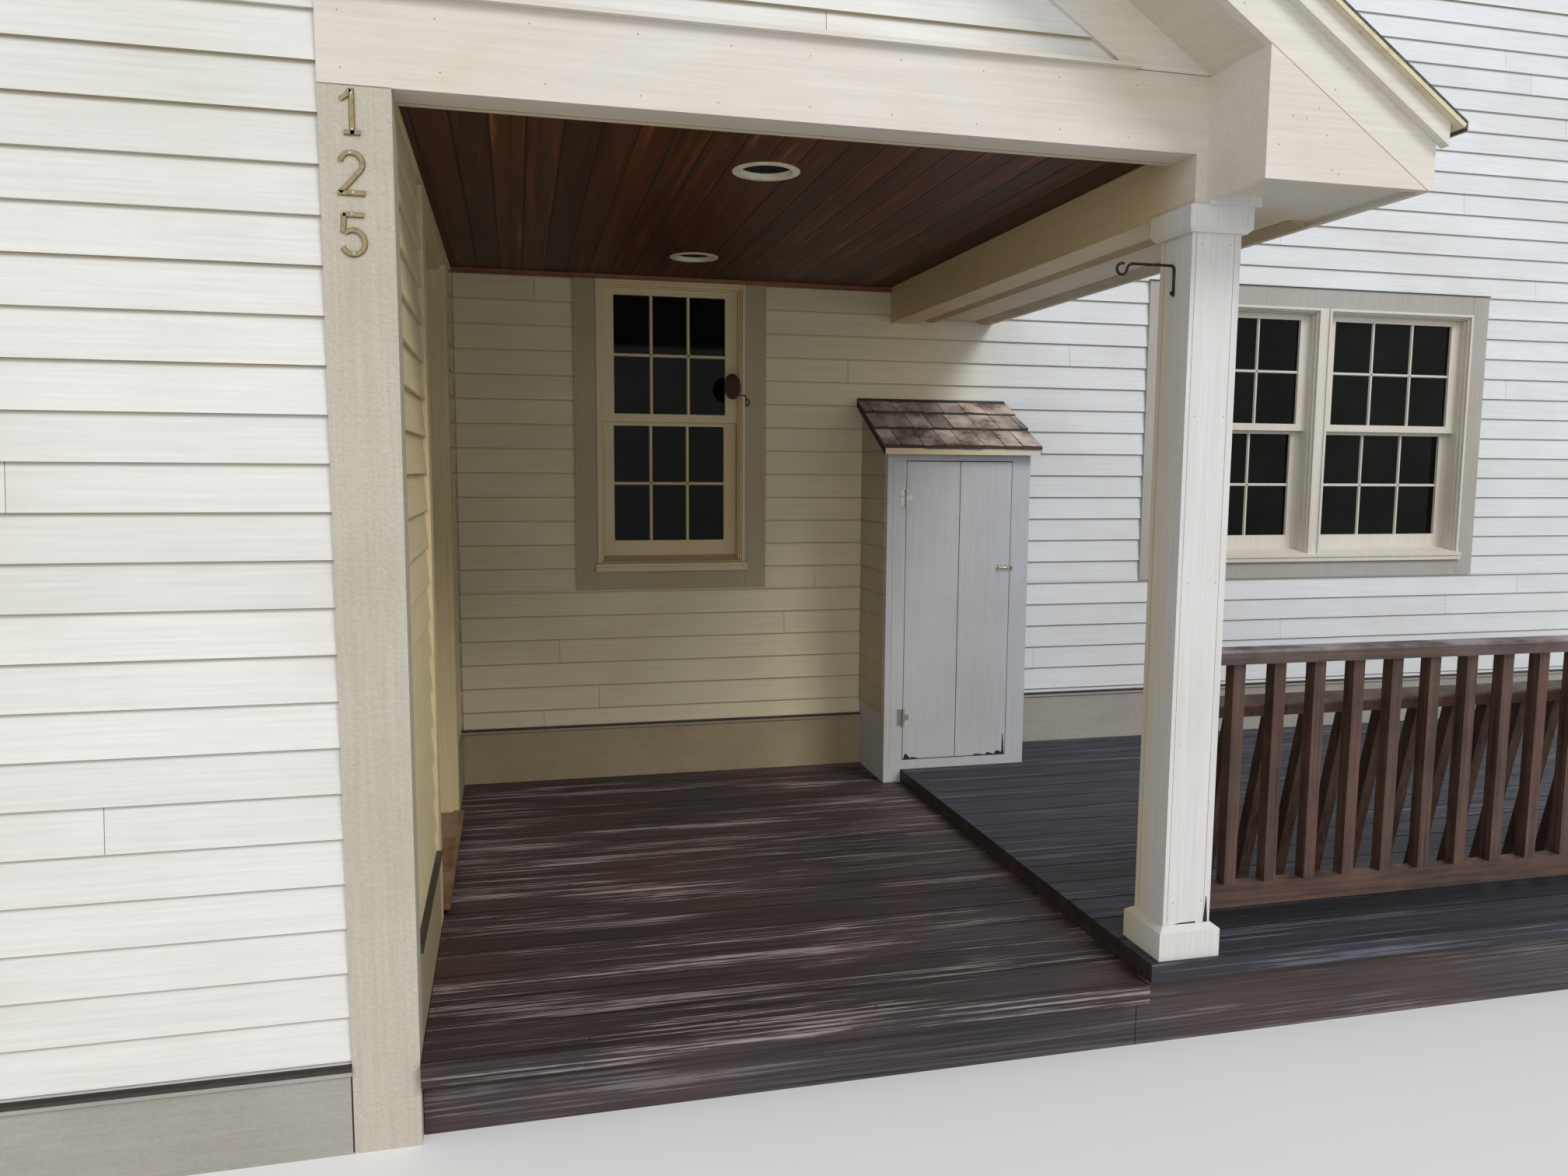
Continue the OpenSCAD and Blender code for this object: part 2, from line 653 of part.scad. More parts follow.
module glass_pair(x0, x1, z0, z1) {
    mid = meet_z(z0, z1);
    y = sash_y + 14;
    block([x0 + stile_w, y, mid - sash_lap + meet_rail], [x1 - stile_w, y + glass_t, z1 - top_rail]);
    block([x0 + stile_w, y + sash_t, z0 + bottom_rail],
        [x1 - stile_w, y + sash_t + glass_t, mid + sash_lap - meet_rail]);
}
pw_x0 = porch_window_x;
pw_x1 = porch_window_x + porch_window_w;
pw_z0 = deck_z + porch_window_sill;
pw_z1 = porch_window_z1;
tw_z0 = deck_z + twin_sill;
tw_z1 = tw_z0 + twin_h;
mull_w = 45;
tw_mid = twin_x + twin_w / 2;
tw_xs = [[twin_x, tw_mid - mull_w / 2], [tw_mid + mull_w / 2, twin_x + twin_w]];
module window_casings() {
    color("lightgray") place() {
        union() casing(pw_x0, pw_x1, pw_z0, pw_z1, 0);
        union() casing(twin_x, twin_x + twin_w, tw_z0, tw_z1, casing_w);
    }
}
module window_frames() {
    color("antiquewhite") place() {
        union() {
            frame(pw_x0, pw_x1, pw_z0, pw_z1);
            nosing(pw_x0, pw_x1, pw_z0);
        }
        union() {
            for (x = tw_xs) frame(x[0], x[1], tw_z0, tw_z1);
            nosing(twin_x, twin_x + twin_w, tw_z0);
            block([tw_mid - mull_w / 2 - eps, wall_y - trim_t, tw_z0],
                [tw_mid + mull_w / 2 + eps, frame_y1, tw_z1]);
        }
    }
}
module window_sashes() {
    color("ivory") place() {
        sash_pair(pw_x0 + frame_t, pw_x1 - frame_t, pw_z0 + sill_h, pw_z1 - frame_t);
        for (x = tw_xs) sash_pair(x[0] + frame_t, x[1] - frame_t, tw_z0 + sill_h, tw_z1 - frame_t);
    }
}
module window_glass() {
    color("lightsteelblue") place() {
        glass_pair(pw_x0 + frame_t, pw_x1 - frame_t, pw_z0 + sill_h, pw_z1 - frame_t);
        for (x = tw_xs) glass_pair(x[0] + frame_t, x[1] - frame_t, tw_z0 + sill_h, tw_z1 - frame_t);
    }
}
// Turned disc on a bent arm, fixed to the porch window's right-hand casing
disc_r = 55;
disc_rise = 181;
module iron_disc() {
    arm = 2.5;
    face_y = wall_y - trim_t;
    color("saddlebrown") place() translate([pw_x1 - 60, face_y, (pw_z0 + pw_z1) / 2 + disc_rise]) union() {
        translate([0, -48, 0]) rotate([0, 0, 40]) rotate([90, 0, 0]) rotate_extrude() polygon([
            [0, 9], [22, 8], [42, 4], [disc_r, -4], [disc_r, -8], [42, 0], [22, 4], [0, 5]]);
        bar([30, -19, -34], [60, -12, -35], arm);
        bar([60, -12, -35], [65, -arm, -50], arm);
        bar([65, -arm, -50], [65, -arm, -80], arm);
        for (p = [[60, -12, -35], [65, -arm, -50], [65, -arm, -80]]) translate(p)
            sphere(r = arm + 0.2, $fn = 16);
        bent_bar([65, -arm, -65], 15, -90, 180, arm);
    }
}

// Entrance in the wall between the porch and the wing
module entrance_casing() {
    color("antiquewhite") place() union() {
        block([face_x, door_y - casing_w, deck_z], [0, door_y, door_z1 + jamb_t + casing_w - 60]);
        block([face_x, door_y1, deck_z], [0, door_y1 + casing_w, door_z1 + jamb_t + casing_w - 60]);
        block([face_x, door_y - eps, door_z1 + jamb_t], [0, door_y1 + eps, door_z1 + jamb_t + casing_w - 60]);
        block([face_x - wall_t, door_y, sill_z], [face_x + eps, door_y + jamb_t, door_z1 + jamb_t]);
        block([face_x - wall_t, door_y1 - jamb_t, sill_z], [face_x + eps, door_y1, door_z1 + jamb_t]);
        block([face_x - wall_t, door_y + jamb_t - eps, door_z1], [face_x + eps, door_y1 - jamb_t + eps, door_z1 + jamb_t]);
    }
}
module entrance_door() {
    color("whitesmoke") place()
        block([face_x - wall_t + 20, door_y + jamb_t + door_gap, sill_z],
            [face_x - wall_t + 64, door_y1 - jamb_t - door_gap, door_z1 - door_gap]);
}
module entrance_threshold() {
    color("saddlebrown") place()
        block([face_x - wall_t, door_y, deck_z + 20], [20, door_y1, sill_z]);
}

// Cabinet against the house wall
cabinet_x0 = 1770;
cab_x1 = cabinet_x0 + cabinet_w;
cab_y0 = wall_y - cabinet_d;
cab_z1 = deck_z + cabinet_head;
cab_t = 18;
cab_floor = platform_z + 40;
frieze_h = 60;
face_t = 20;
cab_roof_z = cab_z1 + frieze_h;
roof_rise = 190;
cab_slope = roof_rise / (cabinet_d - face_t);
cab_front_z = cab_roof_z - face_t * cab_slope;
module cabinet_side(x, z0) {
    along_x(x, x + cab_t) polygon([[cab_y0 + face_t - eps, z0], [wall_y, z0],
        [wall_y, cab_roof_z + roof_rise], [cab_y0 + face_t - eps, cab_roof_z - eps]]);
}
module cabinet_case() {
    inner_x0 = cabinet_x0 + cabinet_stile;
    inner_x1 = cab_x1 - cabinet_stile;
    color("lightgray") place() union() {
        cabinet_side(cabinet_x0, deck_z);
        cabinet_side(cab_x1 - cab_t, platform_z);
        block([cabinet_x0 + cab_t - eps, cab_y0 + face_t - eps, cab_floor - 18],
            [cab_x1 - cab_t + eps, wall_y, cab_floor]);
        block([cabinet_x0, cab_y0, deck_z], [platform_x - 2, cab_y0 + face_t, cab_front_z]);
        block([platform_x - 3, cab_y0, platform_z], [inner_x0, cab_y0 + face_t, cab_front_z]);
        block([inner_x1, cab_y0, platform_z], [cab_x1, cab_y0 + face_t, cab_front_z]);
        block([inner_x0 - eps, cab_y0, cab_z1], [inner_x1 + eps, cab_y0 + face_t, cab_front_z]);
        block([inner_x0 - eps, cab_y0, platform_z], [inner_x1 + eps, cab_y0 + face_t, cab_floor]);
    }
}
// Lean-to roof of the cabinet
module cabinet_roof() {
    y0 = cab_y0 - 30;
    z0 = cab_roof_z - (cab_y0 + face_t - y0) * cab_slope;
    color("rosybrown") place() along_x(cabinet_x0 - 30, cab_x1 + 30)
        polygon([[y0, z0], [wall_y, cab_roof_z + roof_rise], [wall_y, cab_roof_z + roof_rise + 30],
            [y0 - 14, z0 + 22], [y0 - 14, z0 - 6], [y0, z0 - 6]]);
}
// Door of two boards in the cabinet's front
door_gap = 3;
cab_door_x0 = cabinet_x0 + cabinet_stile + door_gap;
cab_door_x1 = cab_x1 - cabinet_stile - door_gap;
cab_door_z0 = cab_floor + 5;
cab_door_z1 = cab_z1 - 4;
module cabinet_door() {
    color("gainsboro") place()
        block([cab_door_x0, cab_y0, cab_door_z0], [cab_door_x1, cab_y0 + face_t, cab_door_z1]);
}
// Butt hinges with their knuckles in front of the gap, and a barrel bolt
pin_x = cab_door_x0 - door_gap / 2;
pin_y = cab_y0 - 7;
pin_r = 2.5;
knuckle_r = 5;
hinge_h = 72;
leaf_w = 26;
leaf_t = 2;
hinge_foot = 150;
hinge_head = 190;
hinge_zs = [cab_door_z0 + hinge_foot, cab_door_z1 - hinge_head];
run_fit = 0.05;
third = hinge_h / 3;
bolt_z = cab_door_z0 + 0.645 * (cab_door_z1 - cab_door_z0);
bolt_r = 3;
bolt_wall = 2;
bolt_y = cab_y0 - leaf_t - bolt_r - bolt_wall;
bolt_plate = 56;
bolt_plate_x = cab_door_x1 - bolt_plate - 2;
bolt_travel = 18;
bolt_rest = cab_door_x1 - 4;
keeper_x = cab_x1 - cabinet_stile + 4;
keeper_w = 8;
module knuckle(z0, z1, bore) {
    difference() {
        union() {
            translate([0, 0, z0]) cylinder(r = knuckle_r, h = z1 - z0);
            children();
        }
        if (bore > 0) translate([0, 0, z0 - 1]) cylinder(r = bore, h = z1 - z0 + 2);
    }
}
module cabinet_fittings() {
    color("darkgray") place() {
        for (z = hinge_zs) translate([pin_x, pin_y, z]) union() {
            for (k = [0, 2]) knuckle(k * third, (k + 1) * third, 0)
                block([-leaf_w, 7 - leaf_t, k * third], [-1.8, 7, (k + 1) * third]);
            for (k = [0, 2]) block([-3.4, 0, k * third], [-1.8, 6, (k + 1) * third]);
            cylinder(r = pin_r, h = hinge_h);
            block([-leaf_w, 7 - leaf_t, 0], [-6, 7, hinge_h]);
        }
        translate([keeper_x, cab_y0, bolt_z]) bolt_loops([0], keeper_w, -2, keeper_w + 2, 0.6);
    }
}
// Loops on a plate, bored for the bolt with the given clearance
module bolt_loops(xs, width, x0, x1, clearance) {
    y = bolt_y - cab_y0;
    r = bolt_r + bolt_wall;
    difference() {
        union() {
            block([x0, -leaf_t, -14], [x1, 0, 14]);
            for (x = xs) block([x, y - r, -r], [x + width, -leaf_t + eps, r]);
        }
        translate([x0 - 1, y, 0]) rotate([0, 90, 0]) cylinder(r = bolt_r + clearance, h = x1 - x0 + 2);
    }
}
module door_fittings() {
    color("darkgray") place() {
        for (z = hinge_zs) translate([pin_x, pin_y, z])
            knuckle(third + 0.3, 2 * third - 0.3, pin_r + run_fit) union() {
                block([1.8, 7 - leaf_t, third + 0.3], [leaf_w, 7, 2 * third - 0.3]);
                block([1.8, 0, third + 0.3], [3.6, 6, 2 * third - 0.3]);
            }
        translate([bolt_plate_x, cab_y0, bolt_z]) bolt_loops([3, 44], 7, 0, bolt_plate, run_fit);
    }
}
module door_bolt() {
    x0 = bolt_plate_x + 1;
    color("darkgray") place() translate([x0, bolt_y, bolt_z]) union() {
        rotate([0, 90, 0]) cylinder(r = bolt_r, h = bolt_rest - x0);
        translate([16, 0, 0]) rotate([90, 0, 0]) cylinder(r = 2.5, h = bolt_r + 11);
    }
}

house_wall();
wing_front_wall();
wing_side_wall();
porch_wall();
porch_wall_head();
wing_floor();
gable_wall();
front_beam();
beam_cap();
side_beam();
ceiling_boards();
ceiling_trim();
ceiling_lights();
roof_right();
roof_left();
ridge_cap();
rake_boards();
rake_friezes();
eave_returns();
soffits();
eave_fascias();
corner_boards();
skirt_boards();
drip_strips();
deck_frames();
deck_boards();
platform_boards();
column_shaft();
column_base();
column_capital();
plant_hook();
rail_top();
rail_panels();
rail_posts();
inner_rail();
window_casings();
window_frames();
window_sashes();
window_glass();
iron_disc();
entrance_casing();
entrance_door();
entrance_threshold();
cabinet_case();
cabinet_roof();
cabinet_fittings();
cabinet_door();
door_fittings();
door_bolt();
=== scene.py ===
# %% [markdown]
# # An entrance porch under the corner of a gabled wing
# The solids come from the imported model. This file gives them their finishes and adds what is too
# small for the solids: clapboards, shingles, window bars, board seams, nails, screws and digits.
# Everything is in metres in the model's own frame: X along the front, Y into the porch, Z up.

# %% Load the solids
import math
import bpy
import numpy as np
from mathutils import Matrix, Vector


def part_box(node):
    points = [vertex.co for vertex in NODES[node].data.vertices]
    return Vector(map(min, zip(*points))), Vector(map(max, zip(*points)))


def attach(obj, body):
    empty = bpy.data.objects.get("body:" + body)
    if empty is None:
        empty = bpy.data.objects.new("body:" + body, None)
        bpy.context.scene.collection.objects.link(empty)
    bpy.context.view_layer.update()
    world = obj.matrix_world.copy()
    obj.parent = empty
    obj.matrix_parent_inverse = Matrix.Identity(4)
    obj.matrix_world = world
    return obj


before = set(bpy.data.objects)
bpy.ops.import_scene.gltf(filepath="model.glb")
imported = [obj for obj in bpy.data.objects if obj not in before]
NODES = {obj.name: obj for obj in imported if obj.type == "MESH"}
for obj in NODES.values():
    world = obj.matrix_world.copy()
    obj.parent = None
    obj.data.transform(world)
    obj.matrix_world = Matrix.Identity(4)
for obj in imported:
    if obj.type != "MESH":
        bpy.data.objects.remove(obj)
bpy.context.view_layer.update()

# %% [markdown]
# ## Measuring from the carpenter's corner
# A carpenter would measure everything from one corner: where the corner board's edge meets the
# porch floor. So lengths below are millimetres from there, and two functions turn them to metres
# and back.

# %% One corner to measure from
CORNER = np.array([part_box("corner_boards")[1].x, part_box("corner_boards")[0].y,
                   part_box("deck_boards")[1].z])


def metres(x, y, z):
    """A place given in millimetres from the porch's corner, in metres in the shared frame."""
    return tuple((np.array([x, y, z]) / 1000.0 + CORNER).tolist())


def solid(node):
    """Lowest and highest corner of a solid, in millimetres from the porch's corner."""
    return [(np.array(c) - CORNER) * 1000.0 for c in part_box(node)]


def solid_points(node):
    """All corner points of a solid as rows x, y, z, in millimetres from the porch's corner."""
    mesh = NODES[node].data
    flat = np.zeros(len(mesh.vertices) * 3)
    mesh.vertices.foreach_get("co", flat)
    return (flat.reshape(-1, 3) - CORNER) * 1000.0


GROUND = -CORNER[2] * 1000.0
house_low, house_high = solid("house_wall")
beam_low, beam_high = solid("front_beam")
side_low, side_high = solid("side_beam")
shaft_low, shaft_high = solid("column_shaft")
base_low, base_high = solid("column_base")
case_low, case_high = solid("cabinet_case")
lean_low, lean_high = solid("cabinet_roof")
door_low, door_high = solid("cabinet_door")
WALL_Y = house_low[1]
CEILING_Z = solid("ceiling_boards")[0][2]
print("corner:", CORNER.round(4), "house wall at", round(WALL_Y), "ground at", round(GROUND), "mm")

# %% [markdown]
# ## Making many small solids at once
# Clapboards, shingles, bars and seams are all slim solids with six sides. One function takes the
# eight corners of each as one array and makes a single mesh, so no loop walks over points.

# %% Pieces from arrays
SIX_SIDES = np.array([[0, 3, 2, 1], [4, 5, 6, 7], [0, 1, 5, 4], [1, 2, 6, 5], [2, 3, 7, 6],
                      [3, 0, 4, 7]])
BOX_CORNERS = np.array([[0, 0, 0], [1, 0, 0], [1, 1, 0], [0, 1, 0],
                        [0, 0, 1], [1, 0, 1], [1, 1, 1], [0, 1, 1]])


def put(name, data):
    """A new object that shows this mesh, lamp or camera, with its own origin at the frame's."""
    made = bpy.data.objects.new(name, data)
    bpy.context.scene.collection.objects.link(made)
    return made


def piece(name, points, faces, paint, body="porch"):
    """A mesh from points in millimetres and faces, moved to metres in the shared frame."""
    mesh = bpy.data.meshes.new(name)
    mesh.from_pydata((np.asarray(points) / 1000 + CORNER).tolist(), [], np.asarray(faces).tolist())
    mesh.materials.append(paint)
    made = put(name, mesh)
    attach(made, body)
    print(name, len(points), "points", len(faces), "faces")
    return made


def slim_solids(name, corners, paint, body="porch"):
    """Many six-sided solids in one mesh; corners is (n, 8, 3): four round the foot, four above.

    A solid whose three edges at corner 0 form a left-handed set has its faces turned, so that all
    of them point outwards. Each solid gets a tone of its own from 0 to 1, kept on its six faces."""
    corners = np.asarray(corners, float).reshape(-1, 8, 3)
    a, b, c = (corners[:, k] - corners[:, 0] for k in (1, 3, 4))
    left_handed = np.einsum("ij,ij->i", np.cross(a, b), c) < 0
    faces = SIX_SIDES[None] + 8 * np.arange(len(corners))[:, None, None]
    faces[left_handed] = faces[left_handed][:, :, ::-1]
    made = piece(name, corners.reshape(-1, 3), faces.reshape(-1, 4), paint, body)
    tones = np.random.default_rng(len(name)).uniform(0, 1, len(corners)).repeat(6)
    made.data.attributes.new("tone", "FLOAT", "FACE").data.foreach_set("value", tones)
    return made


def boxes(low, high):
    """Corners of upright boxes from (n, 3) arrays of their lowest and highest corners."""
    low, high = np.atleast_2d(low).astype(float), np.atleast_2d(high).astype(float)
    return low[:, None, :] * (1 - BOX_CORNERS) + high[:, None, :] * BOX_CORNERS


# %% [markdown]
# ## Adding shader nodes
# A finish is a small network of nodes. One function adds a node, sets it up and joins its inputs;
# a hex colour, the kind that painters use, is turned into the linear values that light needs. Math
# and MapRange take their inputs in order: a MapRange takes a value, the range that it comes from
# and the range that it goes to. A colour Mix has its share at 0 and its two colours at 6 and 7.

# %% Colours and nodes
def tint(code):
    """An sRGB hex code as linear red, green and blue.

    A dark value c becomes c / 12.92, any other ((c + 0.055) / 1.055) ^ 2.4."""
    c = np.array([int(code[k:k + 2], 16) for k in (1, 3, 5)]) / 255.0
    return (*np.where(c <= 0.04045, c / 12.92, ((c + 0.055) / 1.055) ** 2.4).tolist(), 1.0)


def adder(tree):
    """The function that adds a node to this tree and gives back one of its outputs.

    inputs is a list of values in the order of the node's sockets, or a dict by their numbers. A
    name with a capital is a socket, any other is a setting. A value is a number, a hex colour or
    another node's output."""
    def add(kind, inputs=(), out=0, **named):
        made = tree.nodes.new("ShaderNode" + kind)
        sockets = dict(inputs if isinstance(inputs, dict) else enumerate(inputs))
        for key, value in named.items():
            if key[0].isupper():
                sockets[key.replace("_", " ")] = value
            else:
                setattr(made, key, value)
        for key, value in sockets.items():
            if isinstance(value, bpy.types.NodeSocket):
                tree.links.new(value, made.inputs[key])
            else:
                made.inputs[key].default_value = tint(value) if isinstance(value, str) else value
        return made.outputs[out] if len(made.outputs) else made
    return add


def start_finish(name):
    """A material, its adder, and Object coordinates, which are metres in the shared frame."""
    finish = bpy.data.materials.new(name)
    finish.use_nodes = True
    finish.node_tree.nodes.clear()
    add = adder(finish.node_tree)
    return finish, add, add("TexCoord", out="Object")


def close_finish(finish, colour, roughness, height, depth, **sockets):
    """Joins colour, roughness and a bump of so many metres to one shader; more sockets by name."""
    add = adder(finish.node_tree)
    bump = add("Bump", Height=height, Strength=0.7, Distance=depth)
    shader = add("BsdfPrincipled", Base_Color=colour, Roughness=roughness, Normal=bump, **sockets)
    add("OutputMaterial", Surface=shader)
    return finish


# %% [markdown]
# Most finishes are built up like real ones, in layers. One colour is laid over another where a
# pattern is strong, a slow change of light runs over that, and grain is noise stretched along the
# board. So each of these has a function of a few nodes.

# %% Layers of a finish
def laid_over(add, colour, over, pattern, start, end, most=1.0):
    """A colour over another: its share climbs to most as the pattern goes from start to end."""
    share = add("MapRange", [pattern, start, end, 0.0, most])
    return add("Mix", {0: share, 6: colour, 7: over}, 2, data_type="RGBA")


def lit(add, colour, pattern, first, last, start=0.0, end=1.0):
    """A colour times a share of light, from first to last as the pattern goes from start to end."""
    light = add("MapRange", [pattern, start, end, first, last])
    return add("VectorMath", {0: colour, "Scale": light}, operation="SCALE")


def wood_grain(add, place, stretch, scale, detail, roughness, tone=None, axis=0):
    """Noise on stretched coordinates; a board's tone, times 9, moves its grain on along an axis."""
    where = add("Mapping", Vector=place, Scale=stretch)
    if tone is not None:
        on = add("CombineXYZ", {axis: add("Math", [tone, 9.0], operation="MULTIPLY")})
        where = add("VectorMath", [where, on], operation="ADD")
    return add("TexNoise", Vector=where, Scale=scale, Detail=detail, Roughness=roughness)


def counted(add, place, axis, start, width):
    """How many boards in from the first one a point is along an axis: (place - start) / width."""
    count = add("Math", [add("SeparateXYZ", [place], axis), start], operation="SUBTRACT")
    return add("Math", [count, width], operation="DIVIDE")


def board_tones(add, place, axis, start, width, middle):
    """A random tone for each board, and how far from its middle a point is, in board widths."""
    count = counted(add, place, axis, start, width)
    number, rest = (add("Math", [count], operation=part) for part in ("FLOOR", "FRACT"))
    off = add("Math", [rest, middle], operation="SUBTRACT")
    return (add("TexWhiteNoise", noise_dimensions="1D", W=number),
            add("Math", [off], operation="ABSOLUTE"))


# %% [markdown]
# ## Painted wood
# The siding and the trim are softwood under a brushed satin alkyd paint. The brush leaves fine
# ridges along each board, the grain shows through, and dust and pollen gather in soft patches. The
# ridges are really about 1 mm apart; here they are drawn near 8 mm so that they show. Inside the
# porch the paint is tinted warmer and darker: painted shade, for the warm shaded light under the
# roof.

# %% Finish: brushed satin paint on softwood
STRETCH = {"X": (3.0, 120.0, 120.0), "Y": (120.0, 3.0, 120.0), "Z": (120.0, 120.0, 3.0)}
# Where the painted warm shade of the porch starts and where it is full, and its warm tint.
SHADE_NONE = metres(side_high[0] + 480, 20, beam_high[2] + 180)
SHADE_FULL = metres(side_high[0] + 30, 190, beam_high[2])
TINT_OUT, TINT_IN = metres(-150, WALL_Y + 115, 0), metres(-90, WALL_Y + 90, 1)
WARM_SHADE = (1.0, 0.85, 0.53, 1.0)


def warm_porch_shade(add, place, colour, share):
    """Painted warm shade: colour times a warm tint by a share of how far inside the porch a point
    is.

    Ramps along X, Y and Z run from SHADE_NONE to SHADE_FULL. Two more, from TINT_OUT to TINT_IN,
    end the tint left of the corner board and at the rear of the house wall. Their product is the
    depth."""
    deep = share
    for start, end, axes in ((SHADE_NONE, SHADE_FULL, "XYZ"), (TINT_OUT, TINT_IN, "XY")):
        ramps = add("MapRange", {6: place, 7: start, 8: end}, 1, data_type="FLOAT_VECTOR")
        parts = add("SeparateXYZ", [ramps]).node.outputs
        for axis in axes:
            deep = add("Math", [deep, parts[axis]], operation="MULTIPLY")
    return add("Mix", {0: deep, 6: colour, 7: WARM_SHADE}, 2, data_type="RGBA", blend_type="MULTIPLY")


def painted_wood(name, fresh, dusty, along="X", wear=0.35, courses=None, sawn=0.0, chips=None,
                 porch_shade=0.9):
    """Satin paint: fresh and dusty colours mixed by soft patches, with ridges along one axis.

    courses is (lowest butt, exposure) in metres: a tan painted shade darkens the last few
    millimetres of each course, under the next board's butt. sawn adds saw marks, cell noise times
    that share. Below the height chips the paint flakes where noise plus closeness to the foot passes
    a limit. The last argument is the share of painted warm shade inside the porch."""
    finish, add, place = start_finish(name)
    grain = wood_grain(add, place, STRETCH[along], 1.0, 5.0, 0.65)
    patches = add("TexNoise", Vector=place, Scale=1.7, Detail=6.0, Roughness=0.6)
    colour = laid_over(add, fresh, dusty, patches, 0.42, 0.78, wear)
    colour = lit(add, colour, grain, 0.92, 1.04, 0.35, 0.7)
    if courses:
        # A tan painted shade line at the top of each course, under the next board's butt.
        climb = add("Math", [counted(add, place, "Z", *courses)], operation="FRACT")
        colour = laid_over(add, colour, "#95804f", climb, 0.9, 1.0, 0.7)
        own = add("Attribute", out="Fac", attribute_name="tone")
        colour = lit(add, colour, own, 1.0, 0.93)
    if chips:
        height = add("SeparateXYZ", [place], "Z")
        low = add("MapRange", [height, chips, chips - 0.5, 0.0, 0.16])
        flakes = add("TexNoise", Vector=place, Scale=55.0, Detail=7.0, Roughness=0.68)
        clumps = add("TexNoise", Vector=place, Scale=6.0, Detail=2.0)
        total = add("Math", [add("Math", [flakes, clumps]), low])
        colour = laid_over(add, colour, "#80766a", total, 1.42, 1.44, 0.85)
    # Painted warm shade inside the porch: warmer and darker under the roof.
    colour = warm_porch_shade(add, place, colour, porch_shade)
    ridges = grain
    if sawn:
        cells = add("TexNoise", Vector=place, Scale=95.0, Detail=3.0, Roughness=0.7)
        cells = add("MapRange", [cells, 0.35, 0.65, 0.0, sawn])
        colour = lit(add, colour, cells, 0.93, 1.03, 0.0, sawn)
        ridges = add("Math", [grain, cells], operation="ADD")
    gloss = add("MapRange", [patches, 0.3, 0.7, 0.42, 0.62])
    return close_finish(finish, colour, gloss, ridges, 0.0004)


# %% [markdown]
# The siding's courses are counted from one butt on each wall. Sun and rain treat each wall in their
# own way, so each paint below has its own pair of colours: just washed, and dusty. The porch's copy
# of the siding paint is warmer: painted warm shade under the roof.

# %% The painted finishes
EXPOSURE_WING, BUTT_WING = 103.0, 20.0
EXPOSURE_HOUSE, BUTT_HOUSE = 102.5, 927.0


def courses_from(butt, exposure):
    """The height of a butt 30 courses down, and the exposure, both in metres in the frame."""
    return metres(0, 0, butt - 30 * exposure)[2], exposure / 1000.0


WING_COURSES = courses_from(BUTT_WING, EXPOSURE_WING)
HOUSE_COURSES = courses_from(BUTT_HOUSE, EXPOSURE_HOUSE)
SIDING_WING = painted_wood("siding_paint_wing", "#dbdad5", "#c5c0b0", "X", 0.5, WING_COURSES)
SIDING_HOUSE = painted_wood("siding_paint_house", "#d8dbde", "#c5c2b8", "X", 0.5, HOUSE_COURSES)
SIDING_SIDE = painted_wood("siding_paint_side", "#dbdad5", "#c5c0b0", "Y", 0.5, WING_COURSES)
# Painted warm shade: the porch's siding paint is a warmer copy of the house's.
SIDING_PORCH = painted_wood("siding_paint_porch", "#dbd8cf", "#c6bca2", "Y", 0.6, HOUSE_COURSES)
BEAM_PAINT = painted_wood("trim_paint_cream", "#d0cac1", "#c4b592", "X", 0.5)
BEAM_PAINT_Y = painted_wood("trim_paint_cream_depth", "#cec7ba", "#b9ab88", "Y", 0.5)
# The mouldings' paint is darker than the beam's: partly painted shade under the eave.
MOULDING_PAINT = painted_wood("moulding_paint_tan", "#a8977a", "#8f7d5e", "Y", 0.6)
RAKE_PAINT = painted_wood("trim_paint_rake", "#d4d0c8", "#c6b68f", "X", 0.4)
CORNER_PAINT = painted_wood("corner_board_paint", "#b9b2a4", "#a3997f", "Z", 0.6, sawn=3.5)
SKIRT_PAINT = painted_wood("skirt_paint", "#a09b93", "#877f6f", "X", 0.7, sawn=1.6)
CASING_PAINT = painted_wood("casing_paint", "#a5a29b", "#938b7b", "Z", 0.5)
WINDOW_PAINT = painted_wood("window_paint", "#d0cbc0", "#bdb29c", "Z", 0.5)
CABINET_PAINT = painted_wood("cabinet_paint", "#b6bac1", "#9e9c98", "Z", 0.6, chips=0.55,
                             porch_shade=0.2)
CABINET_SIDING = painted_wood("cabinet_siding_paint", "#b7b4ac", "#9c9485", "Y", 0.6, HOUSE_COURSES,
                              porch_shade=0.5)
DOOR_PAINT = painted_wood("door_paint", "#cbc7bb", "#b2aa96", "Z", 0.4)
COLUMN_PAINT = painted_wood("column_paint", "#cdccca", "#bfb8aa", "Z", 0.35, chips=0.7, porch_shade=0.75)

# %% [markdown]
# ## Weathered deck boards
# The deck is bare softwood that has greyed and darkened. Each board ages a little differently, the
# soft grain wears down between the hard lines, and feet polish pale streaks into it. The board's
# number comes from its place, so each gets a tone of its own. Cut ends soak up water and go black.
# The grain's lines are really 1 to 3 mm apart, and are drawn near 7 mm so that they show.

# %% Finish: weathered boards
BOARD_PITCH = 145.0


